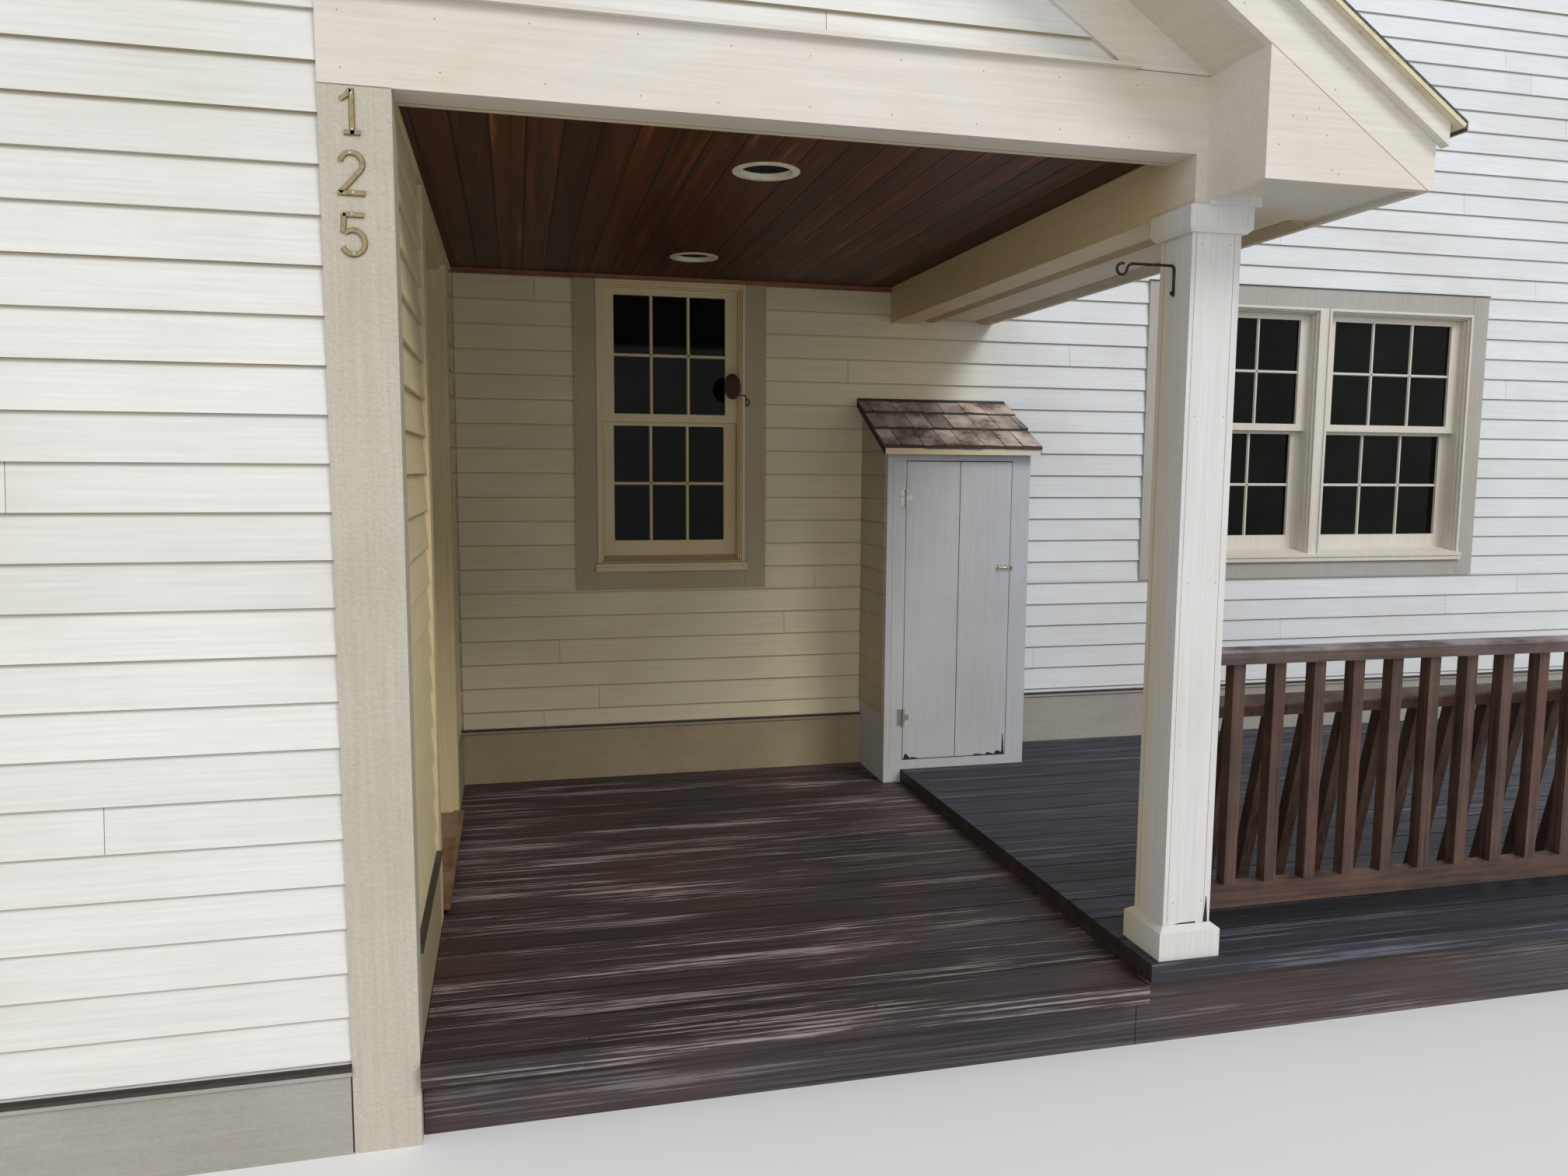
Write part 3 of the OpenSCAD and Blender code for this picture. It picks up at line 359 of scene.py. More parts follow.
def weathered_boards(name, dark, mid, brown, pale, worn):
    """Bare boards along X, a pitch apart in Y, under brown stains, pale wear and dark edges.

    The grain is stretched about 90 times. Wear shows where grain plus blotch passes a limit. The
    gap between boards takes 3.4% of the pitch, so a board's middle is at 0.483 of it."""
    finish, add, place = start_finish(name)
    tone, across = board_tones(add, place, "Y", float(CORNER[1]), BOARD_PITCH / 1000.0, 0.483)
    grain = wood_grain(add, place, (1.6, 140.0, 140.0), 1.0, 6.0, 0.62, tone)
    blotch = wood_grain(add, place, (1.1, 12.0, 12.0), 1.0, 6.0, 0.7)
    warm = add("TexNoise", Vector=place, Scale=2.3, Detail=4.0)
    rubbed = add("Math", [grain, blotch], operation="ADD")
    colour = laid_over(add, dark, mid, grain, 0.37, 0.63)
    colour = laid_over(add, colour, brown, warm, 0.45, 0.68, 0.7)
    colour = laid_over(add, colour, pale, rubbed, 1.06, 1.18, worn)
    colour = lit(add, colour, tone, 0.7, 1.2)
    colour = laid_over(add, colour, "#0f0c0d", across, 0.456, 0.478, 0.6)
    facing = add("SeparateXYZ", [add("NewGeometry", out="Normal")], "X")
    facing = add("Math", [facing], operation="ABSOLUTE")
    colour = laid_over(add, colour, "#22130c", facing, 0.5, 0.6, 0.75)
    gloss = add("MapRange", [blotch, 0.35, 0.65, 0.5, 0.8])
    return close_finish(finish, colour, gloss, grain, 0.0012)


DECK_WOOD = weathered_boards("weathered_deck", "#150f11", "#43383a", "#432b22", "#a59896", 0.85)
# The platform's copy of the deck finish is darker and bluer: painted shade over the platform.
PLATFORM_SHADED_WOOD = weathered_boards("platform_painted_shade", "#101218", "#2e3040", "#29252b", "#7a7a88",
                                 0.5)
FRAME_WOOD = weathered_boards("deck_frame_wood", "#1e1819", "#484347", "#412e26", "#857b7b", 0.5)

# %% [markdown]
# ## Stained rails, ceiling boards and bare timber
# The rail's stain has gone brown-red in shelter and silver on top, where sun and hands reach it.
# The ceiling is tongue-and-groove board, 89 mm wide, stained almost the colour of chocolate. Its
# grooves run from front to back, and each board took the stain a little differently. On all of
# these the grain, really a millimetre or two wide, is drawn at 10 mm and more so that it shows.

# %% Finish: stain on wood
def stained_wood(name, dark, mid, pale, along, top_wear=0.0, roughness=0.5, rail_top=None,
                 spread=None):
    """Stain: dark and mid tones by stretched grain, with a pale wear that faces up take most of.

    Below the height rail_top, in metres, the grain runs along X instead, as in a bottom rail.
    spread is the lowest and highest share of light that a solid's own tone gives it; the butts of
    such shingles, the faces that look to the front, are darkened with painted shade under each
    course, over end grain that is darker too."""
    finish, add, place = start_finish(name)
    facing = add("NewGeometry", out="Normal")
    lengthwise = add("Mapping", Vector=place, Scale=STRETCH[along])
    if rail_top:
        level = add("Mapping", Vector=place, Scale=STRETCH["X"])
        above = add("Math", [add("SeparateXYZ", [place], "Z"), rail_top], operation="GREATER_THAN")
        lengthwise = add("Mix", {0: above, 4: level, 5: lengthwise}, 1, data_type="VECTOR")
    grain = add("TexNoise", Vector=lengthwise, Scale=0.8, Detail=7.0, Roughness=0.68)
    blotch = add("TexNoise", Vector=place, Scale=7.0, Detail=5.0, Roughness=0.6)
    colour = laid_over(add, dark, mid, grain, 0.37, 0.65)
    up = add("SeparateXYZ", [facing], "Z")
    reach = add("MapRange", [up, 0.2, 0.9, 0.12, 0.12 + top_wear])
    rub = add("MapRange", [blotch, 0.38, 0.62])
    rub = add("Math", [rub, reach], operation="MULTIPLY")
    colour = add("Mix", {0: rub, 6: colour, 7: pale}, 2, data_type="RGBA")
    if spread:
        # Faces that look to the front, the shingles' butts, get painted shade, over end grain that
        # is darker too.
        front = add("SeparateXYZ", [facing], "Y")
        colour = laid_over(add, colour, "#1b1310", front, -0.6, -0.9, 0.85)
        own = add("Attribute", out="Fac", attribute_name="tone")
        colour = lit(add, colour, own, *spread)
    return close_finish(finish, colour, roughness, grain, 0.0008)


BOTTOM_RAIL_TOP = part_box("rail_panels")[0].z + 0.064
RAIL_UPRIGHT = stained_wood("rail_stain_upright", "#140a07", "#503022", "#866b5c", "Z", 0.5, 0.55,
                            BOTTOM_RAIL_TOP)
RAIL_TOP = stained_wood("rail_stain_top", "#241713", "#4f3a31", "#8f8688", "X", 0.75, 0.55)
STRIP_STAIN = stained_wood("ceiling_strip_stain", "#5b331a", "#8e5c34", "#a97a4e", "X", 0.0, 0.45)
THRESHOLD = stained_wood("threshold_oil", "#4a3020", "#75523a", "#8f7660", "Y", 0.4, 0.5)
ROOM_FLOOR = stained_wood("room_floor_boards", "#8a6a46", "#a98a60", "#bfa37c", "X", 0.1, 0.45)
CEDAR = stained_wood("split_cedar", "#43332d", "#8a756a", "#d0c1b6", "Y", 0.7, 0.75,
                     spread=(0.55, 1.5))
CEDAR_UNDER = stained_wood("cedar_in_shade", "#17100d", "#352822", "#4a3d36", "Y", 0.2, 0.85)


def ceiling_stain(name, width, start):
    """Grooved boards along Y: the nearest groove darkens and dents, and each board has its tone."""
    finish, add, place = start_finish(name)
    tone, across = board_tones(add, place, "X", start, width, 0.5)
    grain = wood_grain(add, place, (70.0, 2.0, 70.0), 0.7, 7.0, 0.64, tone, 1)
    colour = laid_over(add, "#240d07", "#602e14", grain, 0.3, 0.7)
    colour = laid_over(add, colour, "#91603c", grain, 0.58, 0.72, 0.55)
    colour = lit(add, colour, tone, 0.55, 1.25)
    groove = add("MapRange", [across, 0.455, 0.485])
    colour = add("Mix", {0: groove, 6: colour, 7: "#0d0504"}, 2, data_type="RGBA")
    height = add("Math", [groove, -4.0], operation="MULTIPLY")
    height = add("Math", [height, grain], operation="ADD")
    return close_finish(finish, colour, 0.5, height, 0.001, Specular_IOR_Level=0.3)


CEILING = ceiling_stain("ceiling_stain", 0.089, float(CORNER[0]) + 0.011)

# %% [markdown]
# ## Roofing, metal and glass
# The main roof has mineral shingles, whose coloured grit sparkles slightly. Fittings are steel with
# a dull zinc coat, the hook is black iron, and the glass is float glass, painted nearly black:
# painted shade of the unlit room behind it. Its mirror image is held low, so that the panes stay
# dark in a pale studio.

# %% Finishes: grit, metals and glass
def gritty(name, low, high):
    """Mineral grit: cell noise picks between two tones, over a soft stain.

    Real grit is 1 to 2 mm across; it is drawn at 3 mm so that it shows."""
    finish, add, place = start_finish(name)
    cells = add("TexVoronoi", out="Color", Vector=place, Scale=315.0)
    pick = add("SeparateColor", [cells])
    stain = add("TexNoise", Vector=place, Scale=3.0, Detail=4.0)
    share = add("Math", [pick, stain], operation="MULTIPLY")
    colour = laid_over(add, low, high, share, 0.1, 0.6)
    own = add("Attribute", out="Fac", attribute_name="tone")
    colour = lit(add, colour, own, 0.72, 1.25)
    return close_finish(finish, colour, 0.9, pick, 0.0008)


def spotted(name, colour, worn, metallic, roughness, scale=60.0):
    """Metal or enamel that turns to its worn colour in cloudy spots, 1000 / scale mm across."""
    finish, add, place = start_finish(name)
    spots = add("TexNoise", Vector=place, Scale=scale, Detail=6.0, Roughness=0.7)
    colour = laid_over(add, colour, worn, spots, 0.5, 0.68)
    return close_finish(finish, colour, roughness, spots, 0.0002, Metallic=metallic)


def dark_glass(name):
    """Float glass before an unlit room, painted nearly black as its shade; very smooth, with the
    sheet's faint roll.
    """
    finish, add, place = start_finish(name)
    depth = add("TexNoise", Vector=place, Scale=2.6, Detail=5.0, Roughness=0.6)
    colour = laid_over(add, "#040503", "#10140e", depth, 0.42, 0.7)
    roll = add("TexNoise", Vector=place, Scale=2.0, Detail=1.0)
    return close_finish(finish, colour, 0.03, roll, 0.0006, IOR=1.52, Specular_IOR_Level=0.1)


SHINGLE_GRIT = gritty("shingle_grit", "#3b3733", "#7d766c")
IRON = spotted("black_iron", "#2b2725", "#463a32", 0.85, 0.55)
RUSTY = spotted("rusty_iron", "#3d2a20", "#5a3824", 0.4, 0.75, 90.0)
STEEL = spotted("zinc_plated_steel", "#b9b6ae", "#8c877d", 1.0, 0.42, 120.0)
FLASHING = spotted("dark_drip_metal", "#36322f", "#4c463f", 0.3, 0.5, 20.0)
DRIP_EDGE = spotted("cream_drip_edge", "#cdc2a6", "#b5a37e", 0.0, 0.45, 14.0)
LIGHT_RING = spotted("enamelled_ring", "#e2dac2", "#cdc09c", 0.0, 0.35, 30.0)
LAMP_FACE = spotted("frosted_lamp", "#e9e6da", "#d9d5c4", 0.0, 0.3, 12.0)
BRASS = spotted("aged_brass", "#8d7f60", "#6e6248", 0.6, 0.5, 70.0)
NAIL = spotted("filled_nail", "#a49d8f", "#878172", 0.0, 0.7, 200.0)
SEAM = spotted("shadow_seam", "#857c6b", "#6a6250", 0.0, 0.9, 40.0)
DEEP = spotted("deep_shadow", "#1d1a18", "#12100f", 0.0, 0.9, 40.0)
SCREW = spotted("deck_screw", "#4a4543", "#332e2c", 0.7, 0.6, 200.0)
GLASS = dark_glass("window_glass")

# %% [markdown]
# ## Onto the solids
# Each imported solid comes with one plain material. It is taken off, and the finish goes on instead.
# Like pieces share a finish, because they were painted from one can.

# %% Give each solid its finish
FINISHES = {
    SIDING_HOUSE: "house_wall",
    SIDING_WING: "wing_front_wall gable_wall",
    SIDING_SIDE: "wing_side_wall",
    SIDING_PORCH: "porch_wall porch_wall_head",
    BEAM_PAINT: "front_beam beam_cap eave_returns",
    BEAM_PAINT_Y: "side_beam soffits eave_fascias",
    RAKE_PAINT: "rake_boards rake_friezes",
    CORNER_PAINT: "corner_boards",
    SKIRT_PAINT: "skirt_boards",
    CASING_PAINT: "window_casings",
    DOOR_PAINT: "entrance_casing entrance_door",
    WINDOW_PAINT: "window_frames window_sashes",
    CABINET_PAINT: "cabinet_case cabinet_door",
    COLUMN_PAINT: "column_shaft column_base column_capital",
    CEILING: "ceiling_boards",
    STRIP_STAIN: "ceiling_trim",
    LIGHT_RING: "ceiling_lights",
    SHINGLE_GRIT: "roof_left roof_right ridge_cap",
    FLASHING: "drip_strips",
    FRAME_WOOD: "deck_frames",
    DECK_WOOD: "deck_boards",
    PLATFORM_SHADED_WOOD: "platform_boards",
    RAIL_TOP: "rail_top",
    RAIL_UPRIGHT: "rail_panels rail_posts inner_rail",
    IRON: "plant_hook",
    RUSTY: "iron_disc",
    GLASS: "window_glass",
    THRESHOLD: "entrance_threshold",
    ROOM_FLOOR: "wing_floor",
    CEDAR_UNDER: "cabinet_roof",
    STEEL: "cabinet_fittings door_fittings door_bolt",
}
for finish, names in FINISHES.items():
    for name in names.split():
        NODES[name].data.materials.clear()
        NODES[name].data.materials.append(finish)
print("finished solids:", len(" ".join(FINISHES.values()).split()), "of", len(NODES))

# %% [markdown]
# ## Clapboards
# Bevel siding is a wedge: thick at the butt, thin at the top, each board lapping the one below. The
# eye reads it by the dark line under each butt. A wall is worked out course by course: the courses
# are cut at the heights where an opening starts or ends, then the spans of the openings are taken
# away, and what is left becomes one wedge-shaped solid each.

# %% Clapboards over a wall
BUTT_T, TOP_T = 14.0, 4.5
BOARD_LEN, JOINT_GAP, JOINT_MARGIN = 3600.0, 1.6, 150.0
LEAST_RISE, LEAST_RUN, WALL_REACH = 1.5, 4.0, 8000.0


def clapboards(name, wall, low, high, ends, holes, course, paint, seed, thick=(BUTT_T, TOP_T)):
    """Wedge boards between two heights: thickness = butt - (butt - top) times the share climbed.

    wall is the axis it runs along, the place of its face and the way it faces. ends is its two
    ends, or a function that gives them at a height. holes are (left, right, bottom, top), course
    is (butt, exposure). Boards lie end to end from a random start in each course."""
    run, face, way = wall

    def at(s, out, z):
        return (s, face + way * out, z) if run == "X" else (face + way * out, s, z)

    ends_at = ends if callable(ends) else lambda z: ends
    rng = np.random.default_rng(seed)
    datum, exposure = course
    first, last = math.ceil((low - datum) / exposure), math.floor((high - datum) / exposure)
    marks = (datum + exposure * np.arange(first, last + 1)).tolist()
    cuts = sorted({low, high, *marks, *(z for hole in holes for z in hole[2:] if low < z < high)})
    starts, solids = {}, []
    for z0, z1 in zip(cuts, cuts[1:]):
        middle = (z0 + z1) / 2
        count = math.floor((middle - datum) / exposure)
        spans = [(*ends_at(z0 + 0.1), *ends_at(z1 - 0.1))]
        for left, right, bottom, top in sorted(holes):
            if bottom < middle < top:
                before = [(a0, min(b0, left), a1, min(b1, left))
                          for a0, b0, a1, b1 in spans if left > max(a0, a1)]
                after = [(max(a0, right), b0, max(a1, right), b1)
                         for a0, b0, a1, b1 in spans if right < min(b0, b1)]
                spans = before + after
        start = starts.setdefault(count, rng.uniform(0, BOARD_LEN))
        f0, f1 = (thick[0] - (thick[0] - thick[1]) * ((z - datum) / exposure - count)
                  for z in (z0, z1))
        for a0, b0, a1, b1 in spans:
            if z1 - z0 < LEAST_RISE or max(b0 - a0, b1 - a1) < LEAST_RUN:
                continue
            joints = np.arange(start - 6 * BOARD_LEN, WALL_REACH, BOARD_LEN)
            joints = joints[(joints > max(a0, a1) + JOINT_MARGIN)
                            & (joints < min(b0, b1) - JOINT_MARGIN)]
            lefts = [(a0, a1), *((j + JOINT_GAP / 2,) * 2 for j in joints)]
            rights = [*((j - JOINT_GAP / 2,) * 2 for j in joints), (b0, b1)]
            solids += [[at(l0, 0, z0), at(r0, 0, z0), at(r0, f0, z0), at(l0, f0, z0),
                        at(l1, 0, z1), at(r1, 0, z1), at(r1, f1, z1), at(l1, f1, z1)]
                       for (l0, l1), (r0, r1) in zip(lefts, rights)]
    return slim_solids(name, solids, paint)


# %% [markdown]
# The front wall's boards run between the corner boards. Above the beam they run between two sloping
# friezes, so their ends climb with the roof's pitch, which is measured from the roof's own corners.

# %% Clapboards on the wing's front and gable
roof_low, roof_high = solid("roof_right")
cap_low, cap_high = solid("ridge_cap")
tip = solid_points("roof_right")
tip = tip[tip[:, 0] > roof_high[0] - 1]
RIDGE_X = (cap_low[0] + cap_high[0]) / 2
RIDGE_TOP, TIP_X, TIP_TOP, TIP_FOOT = roof_high[2], roof_high[0], tip[:, 2].max(), tip[:, 2].min()
ROOF_PITCH = (RIDGE_TOP - TIP_TOP) / (TIP_X - RIDGE_X)
SLOPE_LEN = math.hypot(1.0, ROOF_PITCH)
ROOF_T = (TIP_TOP - TIP_FOOT) / SLOPE_LEN
print("pitch", round(ROOF_PITCH, 4), "ridge", round(RIDGE_TOP), "tip at", round(TIP_X))

WING_LEFT, FRONT_FACE = solid("wing_front_wall")[0][:2]
friezes = solid_points("rake_friezes")
TOE_X = friezes[(friezes[:, 2] < beam_high[2] + 1) & (friezes[:, 0] > RIDGE_X)][:, 0].min()
left_board = solid_points("corner_boards")
left_board = left_board[left_board[:, 0] < WING_LEFT / 2]
LEG_Y = left_board[:, 1].max()
CORNER_W = -beam_low[0]
DRIPS = solid_points("drip_strips")
front_drip = DRIPS[DRIPS[:, 1] < 0][:, 2].max()
wing_course, house_course = (BUTT_WING, EXPOSURE_WING), (BUTT_HOUSE, EXPOSURE_HOUSE)


def between_friezes(z):
    """The friezes' lower edges at a height above the beam: each has climbed in from its toe."""
    climb = (z - beam_high[2]) / ROOF_PITCH
    return 2 * RIDGE_X - TOE_X + climb, TOE_X - climb


front, GABLE_STOP = ("X", FRONT_FACE, -1), 30.0
gable_top = beam_high[2] + (TOE_X - RIDGE_X) * ROOF_PITCH - GABLE_STOP
beam_cap_hole = (-CORNER_W, TOE_X, beam_high[2] - 1, solid("beam_cap")[1][2] - 1)
clapboards("siding_wing_front", front, front_drip, beam_high[2],
           (left_board[:, 0].max(), -CORNER_W), [], wing_course, SIDING_WING, 1)
clapboards("siding_gable", front, beam_high[2], gable_top, between_friezes, [beam_cap_hole],
           wing_course, SIDING_WING, 2)

# %% [markdown]
# The house wall is one big sheet of boards with holes for everything that touches it: the wing, the
# porch, the beam, the eave, the cabinet, its small roof and both windows. Each hole comes from the
# measured box of the solid that fills it, so the boards always butt against the trim. Above the
# eaves the sheet is cut along both slopes, and stops a little clear of the shingles.

# %% Clapboards on the house wall
SOFFIT_Z = solid("soffits")[0][2]
EAVE_X = solid("eave_fascias")[1][0]
ROOF_CLEAR, CORNER_BOARD_OUT = 34.0, 20.0
CAP_HALF, CAP_RISE = 60.0, 16.0
HOUSE_FOOT, SIDE_FOOT = GROUND + 60, GROUND + 190


def window_zones():
    """The two casings' outlines on the house wall: left, right, bottom and top of each."""
    points = solid_points("window_casings")
    halves = [points[points[:, 0] < side_high[0]], points[points[:, 0] > side_high[0]]]
    return [(h[:, 0].min(), h[:, 0].max(), h[:, 2].min(), h[:, 2].max()) for h in halves]


def right_of_roof(z):
    """From the right slope to the house's end; on it x = ridge + (top + clear - z) / pitch."""
    return RIDGE_X + (RIDGE_TOP + ROOF_CLEAR - z) / ROOF_PITCH, house_high[0]


def left_of_roof(z):
    """From the house's other end to the left slope, the right one's mirror image."""
    return house_low[0], 2 * RIDGE_X - right_of_roof(z)[0]


back_drips = DRIPS[DRIPS[:, 1] > WALL_Y - 100]
deck_drip = back_drips[back_drips[:, 0] < case_low[0] + 1][:, 2].max()
platform_drip = back_drips[:, 2].max()
roof_line, below = TIP_TOP + 1, GROUND - 1
wing_left = WING_LEFT - CORNER_BOARD_OUT
holes = [
    (wing_left, 0, below, roof_line),
    (0, side_low[0], solid("ceiling_trim")[0][2], roof_line),
    (side_low[0], side_high[0], side_low[2], roof_line),
    (side_high[0], EAVE_X, SOFFIT_Z, roof_line),
    (EAVE_X, TIP_X, TIP_FOOT - 2, roof_line),
    (2 * RIDGE_X - EAVE_X, wing_left, SOFFIT_Z, roof_line),
    (2 * RIDGE_X - TIP_X, 2 * RIDGE_X - EAVE_X, TIP_FOOT - 2, roof_line),
    (0, case_low[0], below, deck_drip),
    (case_low[0], case_high[0], below, case_high[2]),
    (lean_low[0], lean_high[0], case_high[2] - 4, lean_high[2]),
    (case_high[0], house_high[0], below, platform_drip),
    *window_zones(),
]
cap_hole = (RIDGE_X - CAP_HALF, RIDGE_X + CAP_HALF, RIDGE_TOP, RIDGE_TOP + CAP_RISE)
whole = (house_low[0], house_high[0])
for seed, (part, low, high, ends, gaps) in enumerate((
        ("", HOUSE_FOOT, roof_line, whole, holes),
        ("_right", roof_line, RIDGE_TOP, right_of_roof, []),
        ("_left", roof_line, RIDGE_TOP, left_of_roof, []),
        ("_top", RIDGE_TOP, house_high[2], whole, [cap_hole])), 3):
    clapboards("siding_house" + part, ("X", WALL_Y, -1), low, high, ends, gaps, house_course,
               SIDING_HOUSE, seed)

# %% [markdown]
# The wing's outer side and the wall with the entrance are faced in the same way, along Y. So are
# the cabinet's two sides, with thinner boards that stop under its sloping roof.

# %% Clapboards on the sides
WING_FACE, PORCH_FACE = solid("wing_side_wall")[0][0], solid("porch_wall")[1][0]
casing_low, casing_high = solid("entrance_casing")
lean = solid_points("cabinet_roof")
LEAN_BACK_TOP = lean[lean[:, 1] > lean_high[1] - 1][:, 2].max()
lean_front = lean[lean[:, 1] < lean_low[1] + 1][:, 2]
LEAN_TOE, LEAN_LIP = lean_front.min(), lean_front.max()
LEAN_PITCH = (LEAN_BACK_TOP - LEAN_LIP) / (lean_high[1] - lean_low[1])
FRONT_BOARD_T, SLAB_CLEAR, LEAN_STOP, THIN_T = 22.0, 20.0, 70.0, (6.0, 1.5)


def under_lean(z):
    """From behind the cabinet's front board to the wall, and only where the slab leaves room."""
    slab = lean_low[1] + SLAB_CLEAR + (z - LEAN_TOE) / LEAN_PITCH
    return max(case_low[1] + FRONT_BOARD_T, slab), WALL_Y - BUTT_T - 1


doorway = (casing_low[1], casing_high[1], 0, casing_high[2])
clapboards("siding_wing_side", ("Y", WING_FACE, -1), SIDE_FOOT, SOFFIT_Z, (LEG_Y, WALL_Y), [],
           wing_course, SIDING_SIDE, 7)
clapboards("siding_entrance", ("Y", PORCH_FACE, 1), deck_drip, CEILING_Z, (LEG_Y, WALL_Y - BUTT_T),
           [doorway], house_course, SIDING_PORCH, 8)
for name, face, way in (("left", case_low[0], -1), ("right", case_high[0], 1)):
    clapboards("siding_cabinet_" + name, ("Y", face, way), platform_drip,
               lean_high[2] - LEAN_STOP, under_lean, [], house_course, CABINET_SIDING, 9, THIN_T)

# %% [markdown]
# ## Shingles on the main roof
# Strip shingles hide their own nails: each course laps the last, and slots cut the visible strip
# into tabs. Every tab here is a thin wedge laid along the slope, and courses are shifted by half a
# tab. The roof's top isn't in the photograph, so plain grey-brown shingles are a guess.

# %% Roof shingles
def on_slope(side, down, y, off):
    """A point from the distance down the slope, the depth y and the height square to the slope.

    x = ridge + side * (down + off * pitch) / length, z = top - (down * pitch - off) / length."""
    x = RIDGE_X + side * (down + off * ROOF_PITCH) / SLOPE_LEN
    z = RIDGE_TOP - (down * ROOF_PITCH - off) / SLOPE_LEN
    return np.stack(np.broadcast_arrays(x, y, z), -1)


def around(down, depth):
    """The four corners of a rectangle on the slope, in the order of a solid's foot."""
    return ((down[0], depth[0]), (down[0], depth[1]), (down[1], depth[1]), (down[1], depth[0]))


SLOPE_END = (TIP_X - RIDGE_X) * SLOPE_LEN
TAB_EXPOSURE, TAB_W, TAB_SLOT, TAB_LAP, LEAST_TAB = 143.0, 333.0, 5.0, 8.0, 15.0
HEAD_T, SETBACK, OVERHANG, RIDGE_STOP, LEAST_COURSE = 2.0, 9.0, 6.0, 40.0, 60.0


def roof_tabs(name, side):
    """Tabs in courses, each a wedge square to the slope: thin at its head, 6 mm at its butt."""
    rng = np.random.default_rng(11)
    y_from, y_to = roof_low[1] + SETBACK, roof_high[1]
    solids = []
    for k in range(int((SLOPE_END - LEAST_COURSE) // TAB_EXPOSURE) + 1):
        butt = SLOPE_END - k * TAB_EXPOSURE + (OVERHANG if k == 0 else 0)
        head = max(butt - TAB_EXPOSURE - TAB_LAP, RIDGE_STOP)
        marks = np.arange(y_from - TAB_W * (0.5 if k % 2 else 1.0), y_to + TAB_W, TAB_W)
        y0 = np.clip(marks + TAB_SLOT / 2, y_from, y_to)
        y1 = np.clip(marks + TAB_W - TAB_SLOT / 2, y_from, y_to)
        y0, y1 = y0[y1 - y0 > LEAST_TAB], y1[y1 - y0 > LEAST_TAB]
        b = butt + rng.uniform(-1.5, 1.5, len(y0))
        t = rng.uniform(5.0, 6.5, len(y0))
        ring = around((head, b), (y0, y1))
        foot = [on_slope(side, d, y, 0.2) for d, y in ring]
        top = [on_slope(side, d, y, off) for (d, y), off in zip(ring, (HEAD_T, HEAD_T, t, t))]
        solids.append(np.stack([*foot, *top], 1))
    return slim_solids(name, np.concatenate(solids), SHINGLE_GRIT)


roof_tabs("shingles_right", 1)
roof_tabs("shingles_left", -1)

# %% [markdown]
# ## Drip edges
# A folded metal strip covers the lower half of the roof boards' raw edge along each rake, and
# throws water clear of the boards below. From underneath it is the thin cream line above the shadow
# board, with the dark ends of the shingles above it. A board closes the overhang past the fascia.

# %% Drip edges along the rakes and eaves
rake_y = roof_low[1]
fascia_down = (EAVE_X - RIDGE_X) * SLOPE_LEN
FOLD_T, FOLD_IN, FOLD_DOWN, UNDER_T, EAVE_T, BARE = 0.5, 17.0, 1.2, 1.4, 1.5, 0.42
folds = [((2, SLOPE_END), (rake_y - FOLD_T, rake_y + FOLD_T),
          (-ROOF_T - FOLD_DOWN, -ROOF_T * BARE)),
         ((2, SLOPE_END), (rake_y - FOLD_T, rake_y + FOLD_IN), (-ROOF_T - UNDER_T, -ROOF_T)),
         ((fascia_down, SLOPE_END), (rake_y + FOLD_IN, WALL_Y), (-ROOF_T - UNDER_T, -ROOF_T))]
slabs = []
for side in (1, -1):
    slabs += [[on_slope(side, d, y, off) for off in offs for d, y in around(down, depth)]
              for down, depth, offs in folds]
    eave = RIDGE_X + side * (TIP_X - RIDGE_X)
    x0, x1 = sorted((eave, eave + side * EAVE_T))
    slabs += boxes([x0, rake_y, TIP_FOOT - 2], [x1, WALL_Y, TIP_TOP - 8]).tolist()
slim_solids("drip_edges", slabs, DRIP_EDGE)

# %% [markdown]
# ## Window bars
# Each sash shows three panes across and two down. The bars are thin and lie against the glass, so
# each is a slim wedge: wide at the glass, narrower in front. The sash's glass gives their places.

# %% Window bars
BAR_WIDE, BAR_NARROW, BAR_DEEP = 15.0, 8.0, 9.0


def panes():
    """Each sheet of glass as (x0, x1, y0, y1, z0, z1), found from the glass solids' corners."""
    points = solid_points("window_glass").round(1)
    found = []
    for x0, x1 in np.unique(points[:, 0]).reshape(-1, 2):
        mine = points[(points[:, 0] == x0) | (points[:, 0] == x1)]
        for z0, z1 in np.unique(mine[:, 2]).reshape(-1, 2):
            sheet = mine[mine[:, 2] == z0]
            found.append((x0, x1, sheet[:, 1].min(), sheet[:, 1].max(), z0, z1))
    return found


def bar(start, end, across, out):
    """A bar from start to end: a trapezoid section, wide on the glass and narrow a depth out."""
    wide, narrow = across * BAR_WIDE / 2, across * BAR_NARROW / 2
    section = [-wide, wide, narrow + out, out - narrow]
    return [np.add(point, offset) for point in (start, end) for offset in section]


bars = []
for x0, x1, y0, y1, z0, z1 in panes():
    third, half = (x1 - x0) / 3, (z0 + z1) / 2
    for face, out in ((y0, np.array([0, -BAR_DEEP, 0])), (y1, np.array([0, BAR_DEEP, 0]))):
        bars += [bar((x, face, z0), (x, face, z1), np.array([1, 0, 0]), out)
                 for x in (x0 + third, x1 - third)]
        bars.append(bar((x0, face, half), (x1, face, half), np.array([0, 0, 1]), out))
slim_solids("window_bars", bars, WINDOW_PAINT)

# %% [markdown]
# ## Cedar on the cabinet
# Split cedar pieces of random width, thick at the butt, in three courses. Each has lifted a little
# differently, which is what makes such a roof look alive. A dark metal flashing covers the top
# where the roof meets the wall, and a painted board closes the front edge under the butts.

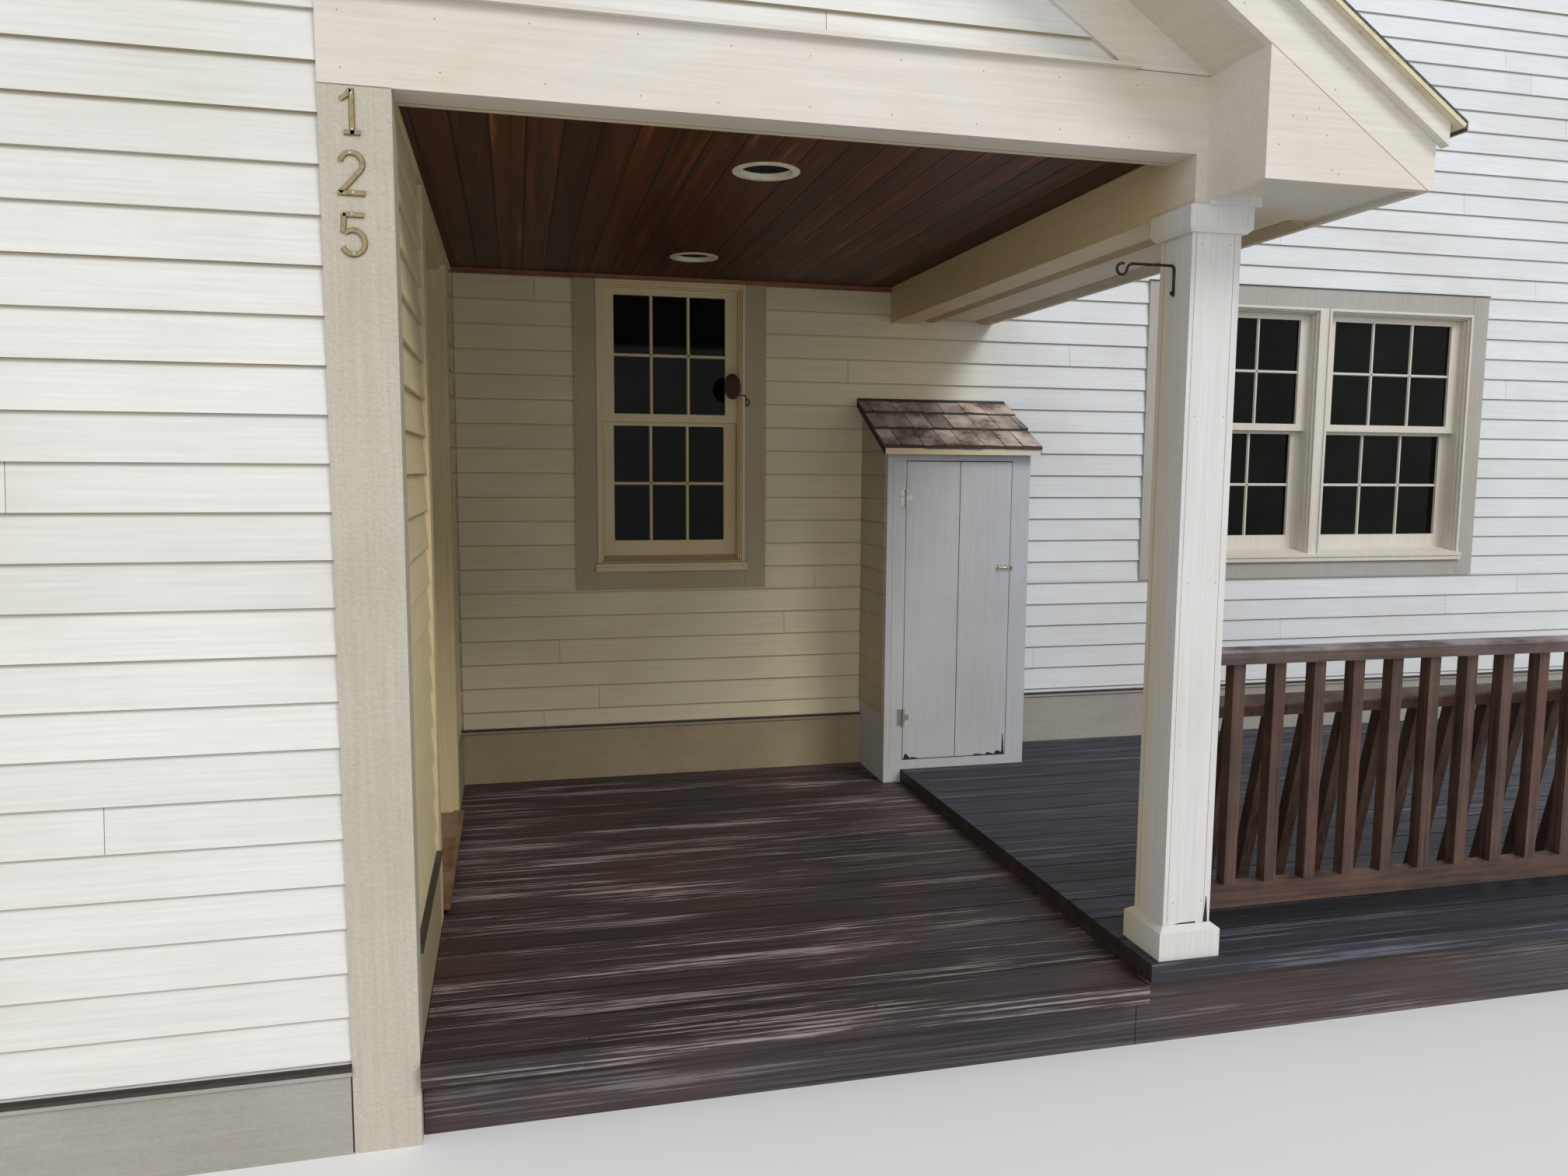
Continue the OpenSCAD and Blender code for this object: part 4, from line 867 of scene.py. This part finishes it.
# %% Cedar shingles, flashing and edge board
CEDAR_COURSES, CEDAR_LAP, CEDAR_GAP, HEAD_LIFT = 3, 22.0, 3.6, 2.5
EAVE_OUT, SIDE_OUT, LEAST_CEDAR = 4.0, 2.0, 30.0


def lean_top(y):
    """Height of the small roof's upper face at a depth y: the lip plus the pitch times the run."""
    return LEAN_LIP + (y - lean_low[1]) * LEAN_PITCH


def cedar_courses():
    """Random widths along X; each shingle is a wedge on the slope, its butt lifted at random."""
    rng = np.random.default_rng(5)
    step = (lean_high[1] - lean_low[1]) / CEDAR_COURSES
    solids = []
    for k in range(CEDAR_COURSES):
        butt = lean_low[1] + k * step - (EAVE_OUT if k == 0 else 0)
        head = min(butt + step + CEDAR_LAP, lean_high[1] - 1)
        x = lean_low[0] - rng.uniform(0, 60)
        x = x + np.concatenate([[0], np.cumsum(rng.uniform(78, 128, 14))])
        x = x[(x > lean_low[0] + LEAST_CEDAR) & (x < lean_high[0] - LEAST_CEDAR)]
        x = np.concatenate([[lean_low[0] - SIDE_OUT], x, [lean_high[0] + SIDE_OUT]])
        for x0, x1 in zip(x[:-1] + CEDAR_GAP / 2, x[1:] - CEDAR_GAP / 2):
            lifts = rng.uniform(12, 18, 2)
            y = butt + rng.uniform(-4, 3)
            ring = ((x0, y), (x1, y), (x1, head), (x0, head))
            solids.append([(u, v, lean_top(v) + lift)
                           for rise in ([-1] * 4, [*lifts, HEAD_LIFT, HEAD_LIFT])
                           for (u, v), lift in zip(ring, rise)])
    return slim_solids("cedar_shingles", solids, CEDAR)


cedar_courses()
x0, x1, y0, y1 = lean_low[0] + 1, lean_high[0] - 1, lean_high[1] - 36, lean_high[1] - 14
foot = [(x0, y0, lean_top(y0) + 3), (x1, y0, lean_top(y0) + 3), (x1, y1, lean_top(y1)),
        (x0, y1, lean_top(y1))]
slim_solids("lean_flashing", [foot + [(x, y, z + (2 if y == y0 else 9)) for x, y, z in foot]],
            FLASHING)
slim_solids("lean_edge_board", boxes([lean_low[0] + 4, lean_low[1] - 1.2, LEAN_TOE - 1],
                                     [lean_high[0] - 4, lean_low[1] + 0.3, LEAN_LIP - 1]),
            BEAM_PAINT)

# %% [markdown]
# ## Seams
# Joints between painted boards are hairlines of shadow. The solids meet face to face there, so each
# seam is drawn as a strip a millimetre or so wide that stands a third of a millimetre off the face.

# %% Seams between boards
STRIP_IN, STRIP_T = 0.4, 0.75
FORWARD, LEFTWARD, DOWNWARD = (0, -1, 0), (-1, 0, 0), (0, 0, -1)


def strips(name, lines, width, paint, out=FORWARD, body="porch"):
    """Thin strips from point a to point b, widened along the cross product of out and the line."""
    out = np.asarray(out, float)
    solids = []
    for a, b in np.asarray(lines, float):
        across = np.cross(out, b - a)
        across *= width / 2 / np.linalg.norm(across)
        foot = np.array([a - across, a + across, b + across, b - across]) - STRIP_IN * out
        solids.append([*foot, *(foot + STRIP_T * out)])
    return slim_solids(name, solids, paint, body)


def upright(x, y, z0, z1):
    """A line straight up from z0 to z1."""
    return [(x, y, z0), (x, y, z1)]


def level(x0, x1, y, z):
    """A line along the front from x0 to x1."""
    return [(x0, y, z), (x1, y, z)]


return_low, return_high = solid("eave_returns")
RETURN_X, RETURN_Y, RETURN_Z = beam_high[0], return_low[1], return_low[2]
toes = ((RETURN_X, return_high[0]), (2 * RIDGE_X - RETURN_X, 2 * RIDGE_X - return_high[0]))
strips("return_seams", [[(x, RETURN_Y, beam_high[2]), (toe, RETURN_Y, RETURN_Z)]
                        for x, toe in toes], 1.3, SEAM)
strips("beam_seams", [level(TOE_X + 20, RETURN_X, 0, beam_high[2]),
                      level(-CORNER_W, 0, 0, beam_low[2])], 2.4, SEAM)
strips("beam_underside_seam", [level(2, side_low[0], 92, beam_low[2])], 2.5, SEAM, DOWNWARD)
strips("skirt_gap", [upright(-CORNER_W - 2, 0, GROUND + 4, -12)], 3.5, DEEP)
strips("column_seam_front", [upright(x, shaft_low[1], shaft_low[2], shaft_high[2])
                             for x in (shaft_low[0] + 12, shaft_high[0] - 19)], 1.0, SEAM)
strips("column_seam_left", [upright(shaft_low[0], shaft_high[1] - 20, shaft_low[2], shaft_high[2])],
       1.2, SEAM, LEFTWARD)
seam_x = door_low[0] + (door_high[0] - door_low[0]) * 0.505
strips("door_seam", [upright(seam_x, door_low[1], door_low[2] + 1, door_high[2] - 1)], 3.0, DEEP,
       body="door")
strips("case_seams", [upright(door_low[0] - 60, case_low[1], door_low[2] - 30, door_high[2] + 20)],
       0.8, SEAM)

CASING_W, CASING_FOOT, CASING_T = 94.0, 79.0, 20.0
tall, twin = window_zones()
ends = [(*tall[:2], tall[2], tall[2] + CASING_FOOT), (*twin[:2], twin[2], twin[2] + CASING_FOOT),
        (*twin[:2], twin[3] - CASING_W, twin[3])]
strips("casing_seams", [upright(x, WALL_Y - CASING_T, z0, z1) for x0, x1, z0, z1 in ends
                        for x in (x0 + CASING_W, x1 - CASING_W)], 1.4, SEAM)
slim_solids("window_drip_cap", boxes([twin[0] - 4, WALL_Y - 26, twin[3]],
                                     [twin[1] + 4, WALL_Y, twin[3] + 4]), FLASHING)

# %% [markdown]
# ## Mouldings under the eave
# Two bed mouldings run back under the side eave: one beside the beam and one near the fascia. Each
# has a leaning face that looks towards the door, and a tan paint darker than the beam's that is
# partly painted shade, so it reads as a tan band between paler boards.

# %% Bed mouldings
BED_RUNS = ((29, 84, 14), (290, 340, 15))
BED_DEPTH = (shaft_high[1] + 28, WALL_Y - BUTT_T)
mouldings = []
for start, end, drop in BED_RUNS:
    m0, m1 = side_high[0] + start, side_high[0] + end
    section = [(m0, 7), (m1, 8 - drop), (m1 + 3, 8 - drop), (m1 + 4, 9)]
    mouldings.append([(x, y, SOFFIT_Z + dz) for y in BED_DEPTH for x, dz in section])
slim_solids("bed_mouldings", mouldings, MOULDING_PAINT)

# %% [markdown]
# ## Rot near the ground
# Rain has softened the column's edge board near the floor: the seam there has opened into a dark
# sliver, and a crack runs along the top of the base. The cabinet door's foot has frayed as well.
# Each mark is a flat tapered solid in the deep-shadow finish, painted shade inside the opening:
# wide at its foot, and leaning to a short top.

# %% Open seams and frayed wood
def mark(foot, top, rise, out, top_out, back):
    """Eight corners of a tapered mark: x from foot[0] to foot[1] below and top[0] to top[1] above.

    It reaches out from its face, to out at the foot and top_out at the top, and back into it."""
    rings = ((foot, (0, 0), out), (top, rise, top_out))
    return [(x, y, z) for (x0, x1), (z0, z1), front in rings
            for x, y, z in ((x0, front, z0), (x1, front, z1), (x1, back, z1), (x0, back, z0))]


sliver = mark((-19, -6), (-13, -11), (72, 72), -0.4, -0.4, 0.2)
crack = mark((-105, -42), (-92, -44), (3, 4), -1.5, -1.0, 0)
slim_solids("column_sliver",
            np.array([sliver, crack]) + (shaft_high[0], shaft_low[1], base_high[2]), DEEP)
x0, x1 = door_low[0] + 3, door_high[0] - 3
frays = ((x0, 34, 22), (x0 + 30, 40, 7), (x1 - 150, 60, 5), (x1 - 92, 46, 9), (x1 - 48, 48, 15),
         (x1 - 12, 12, 90))
frayed = [mark((x, x + w), (x + w * 0.2, x + w * 0.45), (h, h), -0.4, -0.4, 0.2)
          for x, w, h in frays]
slim_solids("door_foot_rot", np.array(frayed) + (0, door_low[1], door_low[2]), DEEP,
            "door")

# %% [markdown]
# ## Under the siding and behind the step
# The metal drip under the lowest clapboard shows only as a thin dark line, because the board below
# it is painted over its lower half. The strips are found by their height and depth in the solid.
# Where the low deck stops, a block closes the open end of the hollow behind the platform's nosing.

# %% Painted lips and the step's end block
LINE_H, LIP_T = 9.0, 0.3
FOOT_STRIP, STEP_STRIP, REAR_Y = 100, 250, 1000
BLOCK_LOW, BLOCK_HIGH = (0.4, 0.5, 0.5), (18.0, 39.8, 26.8)
rear, up = DRIPS[:, 1] > REAR_Y, DRIPS[:, 2]
lips = []
for there, axis, face in ((up < FOOT_STRIP, 1, 0), ((up > FOOT_STRIP) & ~rear, 0, 1),
                          ((up < STEP_STRIP) & rear, 1, 0), (up > STEP_STRIP, 1, 0)):
    ends = np.array([DRIPS[there].min(0), DRIPS[there].max(0)])
    ends[:, axis] = ends[face, axis] + np.array([-LIP_T, LIP_T])
    ends[1, 2] -= LINE_H
    lips.append(boxes(*ends))
slim_solids("drip_lips", lips, SKIRT_PAINT)
step = (solid("platform_boards")[0][0], 0, 0)
slim_solids("step_end_block", boxes(np.add(BLOCK_LOW, step), np.add(BLOCK_HIGH, step)), FRAME_WOOD)

# %% [markdown]
# ## Nails and screws
# Filled nail holes pimple the painted boards, and the deck boards are screwed twice to each joist.
# A nail or screw is a shallow dome of eight sides: one outline of points, copied to every place.

# %% Nail heads and deck screws
DOME_TIP, DOME_IN = 0.72, 0.3
NAIL_R, SCREW_R, HEAD_RISE = 2.6, 4.0, 0.35


def domes(name, places, radius, rise, paint, out=FORWARD):
    """Flat cones with a blunt tip: a ring on the face, a narrower ring above it, and a lid."""
    out = np.asarray(out, float)
    u = np.cross([1.0, 0.0, 0.0] if out[2] else [0.0, 0.0, 1.0], out)
    v = np.cross(out, u)
    angle = np.arange(8) * math.pi / 4
    ring = np.cos(angle)[:, None] * u + np.sin(angle)[:, None] * v
    one = np.concatenate([ring * radius - DOME_IN * out, ring * radius * DOME_TIP + rise * out])
    faces = [[k, (k + 1) % 8, 8 + (k + 1) % 8, 8 + k] for k in range(8)]
    faces += [[8, 9, 10, 11], [8, 11, 12, 13], [8, 13, 14, 15], [3, 2, 1, 0], [5, 4, 3, 0],
              [7, 6, 5, 0]]
    places = np.asarray(places, float).reshape(-1, 3)
    faces = np.array(faces)[None] + 16 * np.arange(len(places))[:, None, None]
    return piece(name, (places[:, None, :] + one[None]).reshape(-1, 3), faces.reshape(-1, 4),
                 paint)


rng = np.random.default_rng(21)
BEAM_STEP, BOARD_STEP, COLUMN_STEP, RAKE_STEP = 203.0, 406.0, 430.0, 300.0
RAKE_LINES, NAIL_LINES, BOARDS = (-78.0, -138.0), (28, 112), 15
nails = [(x + rng.uniform(-20, 20), 0.0, z + rng.uniform(-8, 8))
         for x in np.arange(-110, RETURN_X - 20, BEAM_STEP)
         for z in (beam_low[2] + 32, beam_high[2] - 34)]
nails += [(x, 0.0, z) for x in (-121, -25)
          for z in np.arange(GROUND + 90, beam_low[2] - 30, BOARD_STEP)]
nails += [(shaft_low[0] + dx, shaft_low[1], z) for dx in NAIL_LINES
          for z in np.arange(shaft_low[2] + 60, shaft_high[2], COLUMN_STEP)]
nails += [(x, case_low[1], z) for x in (case_low[0] + 14, case_low[0] + 62, case_high[0] - 34)
          for z in (290, 700, 1030, 1380)]
domes("trim_nails", nails, NAIL_R, HEAD_RISE, NAIL)

RETURN_H = beam_high[2] - RETURN_Z - 60
nails = [(x, RETURN_Y, RETURN_Z + 20 + rng.uniform(0, 1) * (RETURN_H - (x - RETURN_X) * ROOF_PITCH))
         for x in rng.uniform(RETURN_X + 30, RETURN_X + 210, 7)]
for side in (1, -1):
    spots = np.concatenate([on_slope(side, np.arange(120, 2600, RAKE_STEP), RETURN_Y, off)
                            for off in RAKE_LINES])
    nails += spots[spots[:, 2] > RETURN_Z + 40].tolist()
domes("rake_nails", nails, NAIL_R, HEAD_RISE, NAIL)

deck_high, platform_low, platform_high = solid("deck_boards")[1], *solid("platform_boards")
joists = [(np.linspace(21, deck_high[0] - 21, 6), deck_high[2]),
          (np.linspace(platform_low[0] + 19, solid("deck_frames")[1][0] - 19, 11),
           platform_high[2])]
screws = np.array([(x + rng.uniform(-3, 3), y + dy, z) for xs, z in joists for x in xs
                   for y in np.arange(BOARDS) * BOARD_PITCH for dy in NAIL_LINES])
for low, high in ((base_low - 6, base_high + 6), (case_low - 8, case_high + 8)):
    screws = screws[~((screws > low)[:, :2].all(1) & (screws < high)[:, :2].all(1))]
domes("deck_screws", screws, SCREW_R, HEAD_RISE, SCREW, (0, 0, 1))

# %% [markdown]
# ## House digits
# Three cast digits are screwed to the corner board, one under the other: a plain 1, 2 and 5. Each
# stroke of a digit is a path of points, and a flat bar with sloping sides is carried along it, so
# that the strokes catch the light like a casting.

# %% Faces round a stack of rings
def tube(rings, sides):
    """Quads round a stack of rings: points j and j + 1 of one ring, joined to the next ring's."""
    i, j = (grid.ravel() for grid in np.meshgrid(np.arange(rings - 1), np.arange(sides),
                                                 indexing="ij"))
    on = (j + 1) % sides
    return np.stack([i * sides + j, (i + 1) * sides + j, (i + 1) * sides + on, i * sides + on], -1)


# %% House digits
DIGIT_H, DIGIT_T, STROKE_W, TOP_SHARE, STROKE_IN = 92.0, 5.0, 12.5, 0.32, 0.3
DIGIT_X, DIGIT_Z = -83.0, (2084.0, 1960.0, 1836.0)
DIGIT_SCREWS = ((4, 2048), (4, 2120), (-2, 2001), (2, 1921), (-2, 1878), (0, 1797))


def arc(cx, cy, rx, ry, start, end, count=14):
    """Points of an ellipse between two angles in degrees: centre + (rx cos a, ry sin a)."""
    a = np.radians(np.linspace(start, end, count))
    return np.stack([cx + rx * np.cos(a), cy + ry * np.sin(a)], -1)


def stroke(path):
    """Points and faces of a bar along a flat path: four corners at each point, square to the path.

    The outer pair lies on the board at half the width, the inner pair stands DIGIT_T off it at
    TOP_SHARE of the width. The two ends are closed."""
    path = np.asarray(path, float)
    way = np.gradient(path, axis=0)
    side = np.stack([-way[:, 1], way[:, 0]], -1) / np.linalg.norm(way, axis=1)[:, None]
    section = ((-0.5, -STROKE_IN), (-TOP_SHARE, DIGIT_T), (TOP_SHARE, DIGIT_T), (0.5, -STROKE_IN))
    rings = [np.column_stack([path + side * s * STROKE_W, np.full(len(path), off)])
             for s, off in section]
    points = np.stack(rings, 1).reshape(-1, 3)
    last = len(points) - 4
    ends = [[0, 1, 2, 3], [last + 3, last + 2, last + 1, last]]
    return points, np.concatenate([tube(len(path), len(section)), ends])


DIGITS = {
    "1": [[(4, 0), (4, 46), (4, 92)], [(-17, 70), (-6, 78), (2, 90)], [(-12, 4), (4, 4), (20, 4)]],
    "2": [np.concatenate([arc(0, 66, 22, 22, 170, -38), [(-2, 30), (-24, 6)]]),
          [(-28, 6), (0, 6), (26, 6)]],
    "5": [[(22, 86), (0, 86), (-20, 86)], [(-18, 88), (-19, 68), (-21, 50)],
          arc(-1, 30, 23, 25, 132, -155, 18)],
}
for (symbol, paths), middle in zip(DIGITS.items(), DIGIT_Z):
    points, faces, count = [], [], 0
    for some, sides in map(stroke, paths):
        points.append(some)
        faces.append(sides + count)
        count += len(some)
    x, y, out = np.concatenate(points).T
    placed = np.stack([DIGIT_X + x, -out, middle + y - DIGIT_H / 2], -1)
    piece("digit_" + symbol, placed, np.concatenate(faces), BRASS)
domes("digit_screws", [(DIGIT_X + dx, -DIGIT_T, z) for dx, z in DIGIT_SCREWS], 3.2, 0.8, STEEL)

# %% [markdown]
# ## Ceiling lamps
# Each recessed light is a can with a dark stepped baffle and the frosted face of a lamp at its top.
# Both are turned shapes: a profile of radius and height, swept round the can's middle.

# %% Lamps in the cans
CAN_R, CAN_TAPER, CAN_DEPTH, CAN_LIP, STEPS, STEP_R = 73.5, 16, 78, 2, 11, 1.4
BAFFLE = [(CAN_R - CAN_TAPER * k / STEPS + STEP_R * (k % 2), CAN_LIP + CAN_DEPTH * k / STEPS)
          for k in range(STEPS + 1)]
LAMP = [(0.5, 64), (14, 64.6), (28, 67), (39, 72), (46, 80), (47, 92)]


def turned(name, profile, centre, paint, sides=40):
    """A profile of (radius, height) swept once round an upright axis: profile by angle."""
    r, h = np.asarray(profile, float).T[:, :, None]
    angle = np.arange(sides) * 2 * math.pi / sides
    points = np.stack([centre[0] + r * np.cos(angle), centre[1] + r * np.sin(angle),
                       centre[2] + h + 0 * angle], -1)
    faces = np.roll(tube(len(profile), sides), -1, axis=1)
    return piece(name, points.reshape(-1, 3), faces, paint)


rings = solid_points("ceiling_lights")
middle_y = (rings[:, 1].min() + rings[:, 1].max()) / 2
for n, half in enumerate((rings[rings[:, 1] < middle_y], rings[rings[:, 1] > middle_y]), 1):
    centre = (*((half.min(0) + half.max(0)) / 2)[:2], CEILING_Z)
    turned("can_baffle_%d" % n, BAFFLE, centre, DEEP)
    turned("can_lamp_%d" % n, LAMP, centre, LAMP_FACE)

# %% [markdown]
# ## Light, floor and camera
# A wide soft sun stands high and to the right of the camera, as the column's bright and dim faces
# show. A second one, wider, lower and half as strong, stands on the left and reaches in under the
# roof. The world gives even fill, and shows pale to the camera and in reflections. The camera
# stands where the photographer stood.

# %% Floor and light
def soft_sun(name, place, strength, spread):
    """A sun lamp that shines from the way of a place: turned by its yaw, tipped by its climb."""
    data = bpy.data.lights.new(name, "SUN")
    data.energy, data.angle = strength, math.radians(spread)
    x, y, z = place
    climb = math.atan2(z, math.hypot(x, y))
    put(name, data).rotation_euler = (math.pi / 2 - climb, 0.0, math.atan2(y, x) + math.pi / 2)


soft_sun("key", (5.0, -8.5, 8.0), 1.68, 24.0)
soft_sun("fill", (-5.5, -8.0, 2.6), 0.78, 60.0)

HALF = 40.0
floor_mesh = bpy.data.meshes.new("floor")
floor_mesh.from_pydata([(-HALF, -HALF, 0), (HALF, -HALF, 0), (HALF, HALF, 0), (-HALF, HALF, 0)],
                       [], [(0, 1, 2, 3)])
floor = put("floor", floor_mesh)
finish, add, _ = start_finish("pale_floor")
add("OutputMaterial", Surface=add("BsdfPrincipled", Base_Color="#e7e7e6", Roughness=0.95))
floor_mesh.materials.append(finish)

world = bpy.data.worlds.new("studio")
bpy.context.scene.world = world
world.use_nodes = True
world.node_tree.nodes.clear()
add = adder(world.node_tree)
rays = add("LightPath").node.outputs
seen = add("Math", [rays["Is Camera Ray"], rays["Is Glossy Ray"]], operation="MAXIMUM")
seen = add("Math", [seen, rays["Is Transmission Ray"]], operation="MAXIMUM")
sky = add("Background", Color="#f9fbff", Strength=0.55)
pale = add("Background", Color="#f3f3f3", Strength=1.0)
add("OutputWorld", Surface=add("MixShader", [seen, sky, pale]))
bpy.context.scene.view_settings.view_transform = "Standard"

# %% Camera
FOCAL_PX, PHOTO_PX = 1427.24, 2016.0
yaw, pitch, roll = (math.radians(a) for a in (13.557, -6.011, 0.3465))
ahead = np.array([math.sin(yaw) * math.cos(pitch), math.cos(yaw) * math.cos(pitch),
                  math.sin(pitch)])
level_way = np.array([math.cos(yaw), -math.sin(yaw), 0.0])
above = np.cross(level_way, ahead)
turn = np.eye(4)
turn[:3, 0] = level_way * math.cos(roll) + above * math.sin(roll)
turn[:3, 1] = above * math.cos(roll) - level_way * math.sin(roll)
turn[:3, 2] = -ahead
turn[:3, 3] = metres(237, -2534, 1349)
lens = bpy.data.cameras.new("camera")
lens.sensor_width = 36.0
lens.lens = lens.sensor_width * FOCAL_PX / PHOTO_PX
camera = put("camera", lens)
camera.matrix_world = [list(row) for row in turn.T]
bpy.context.scene.camera = camera
print("camera at", turn[:3, 3].round(3), "lens", round(lens.lens, 2), "mm")

# %% Update the scene
bpy.context.view_layer.update()
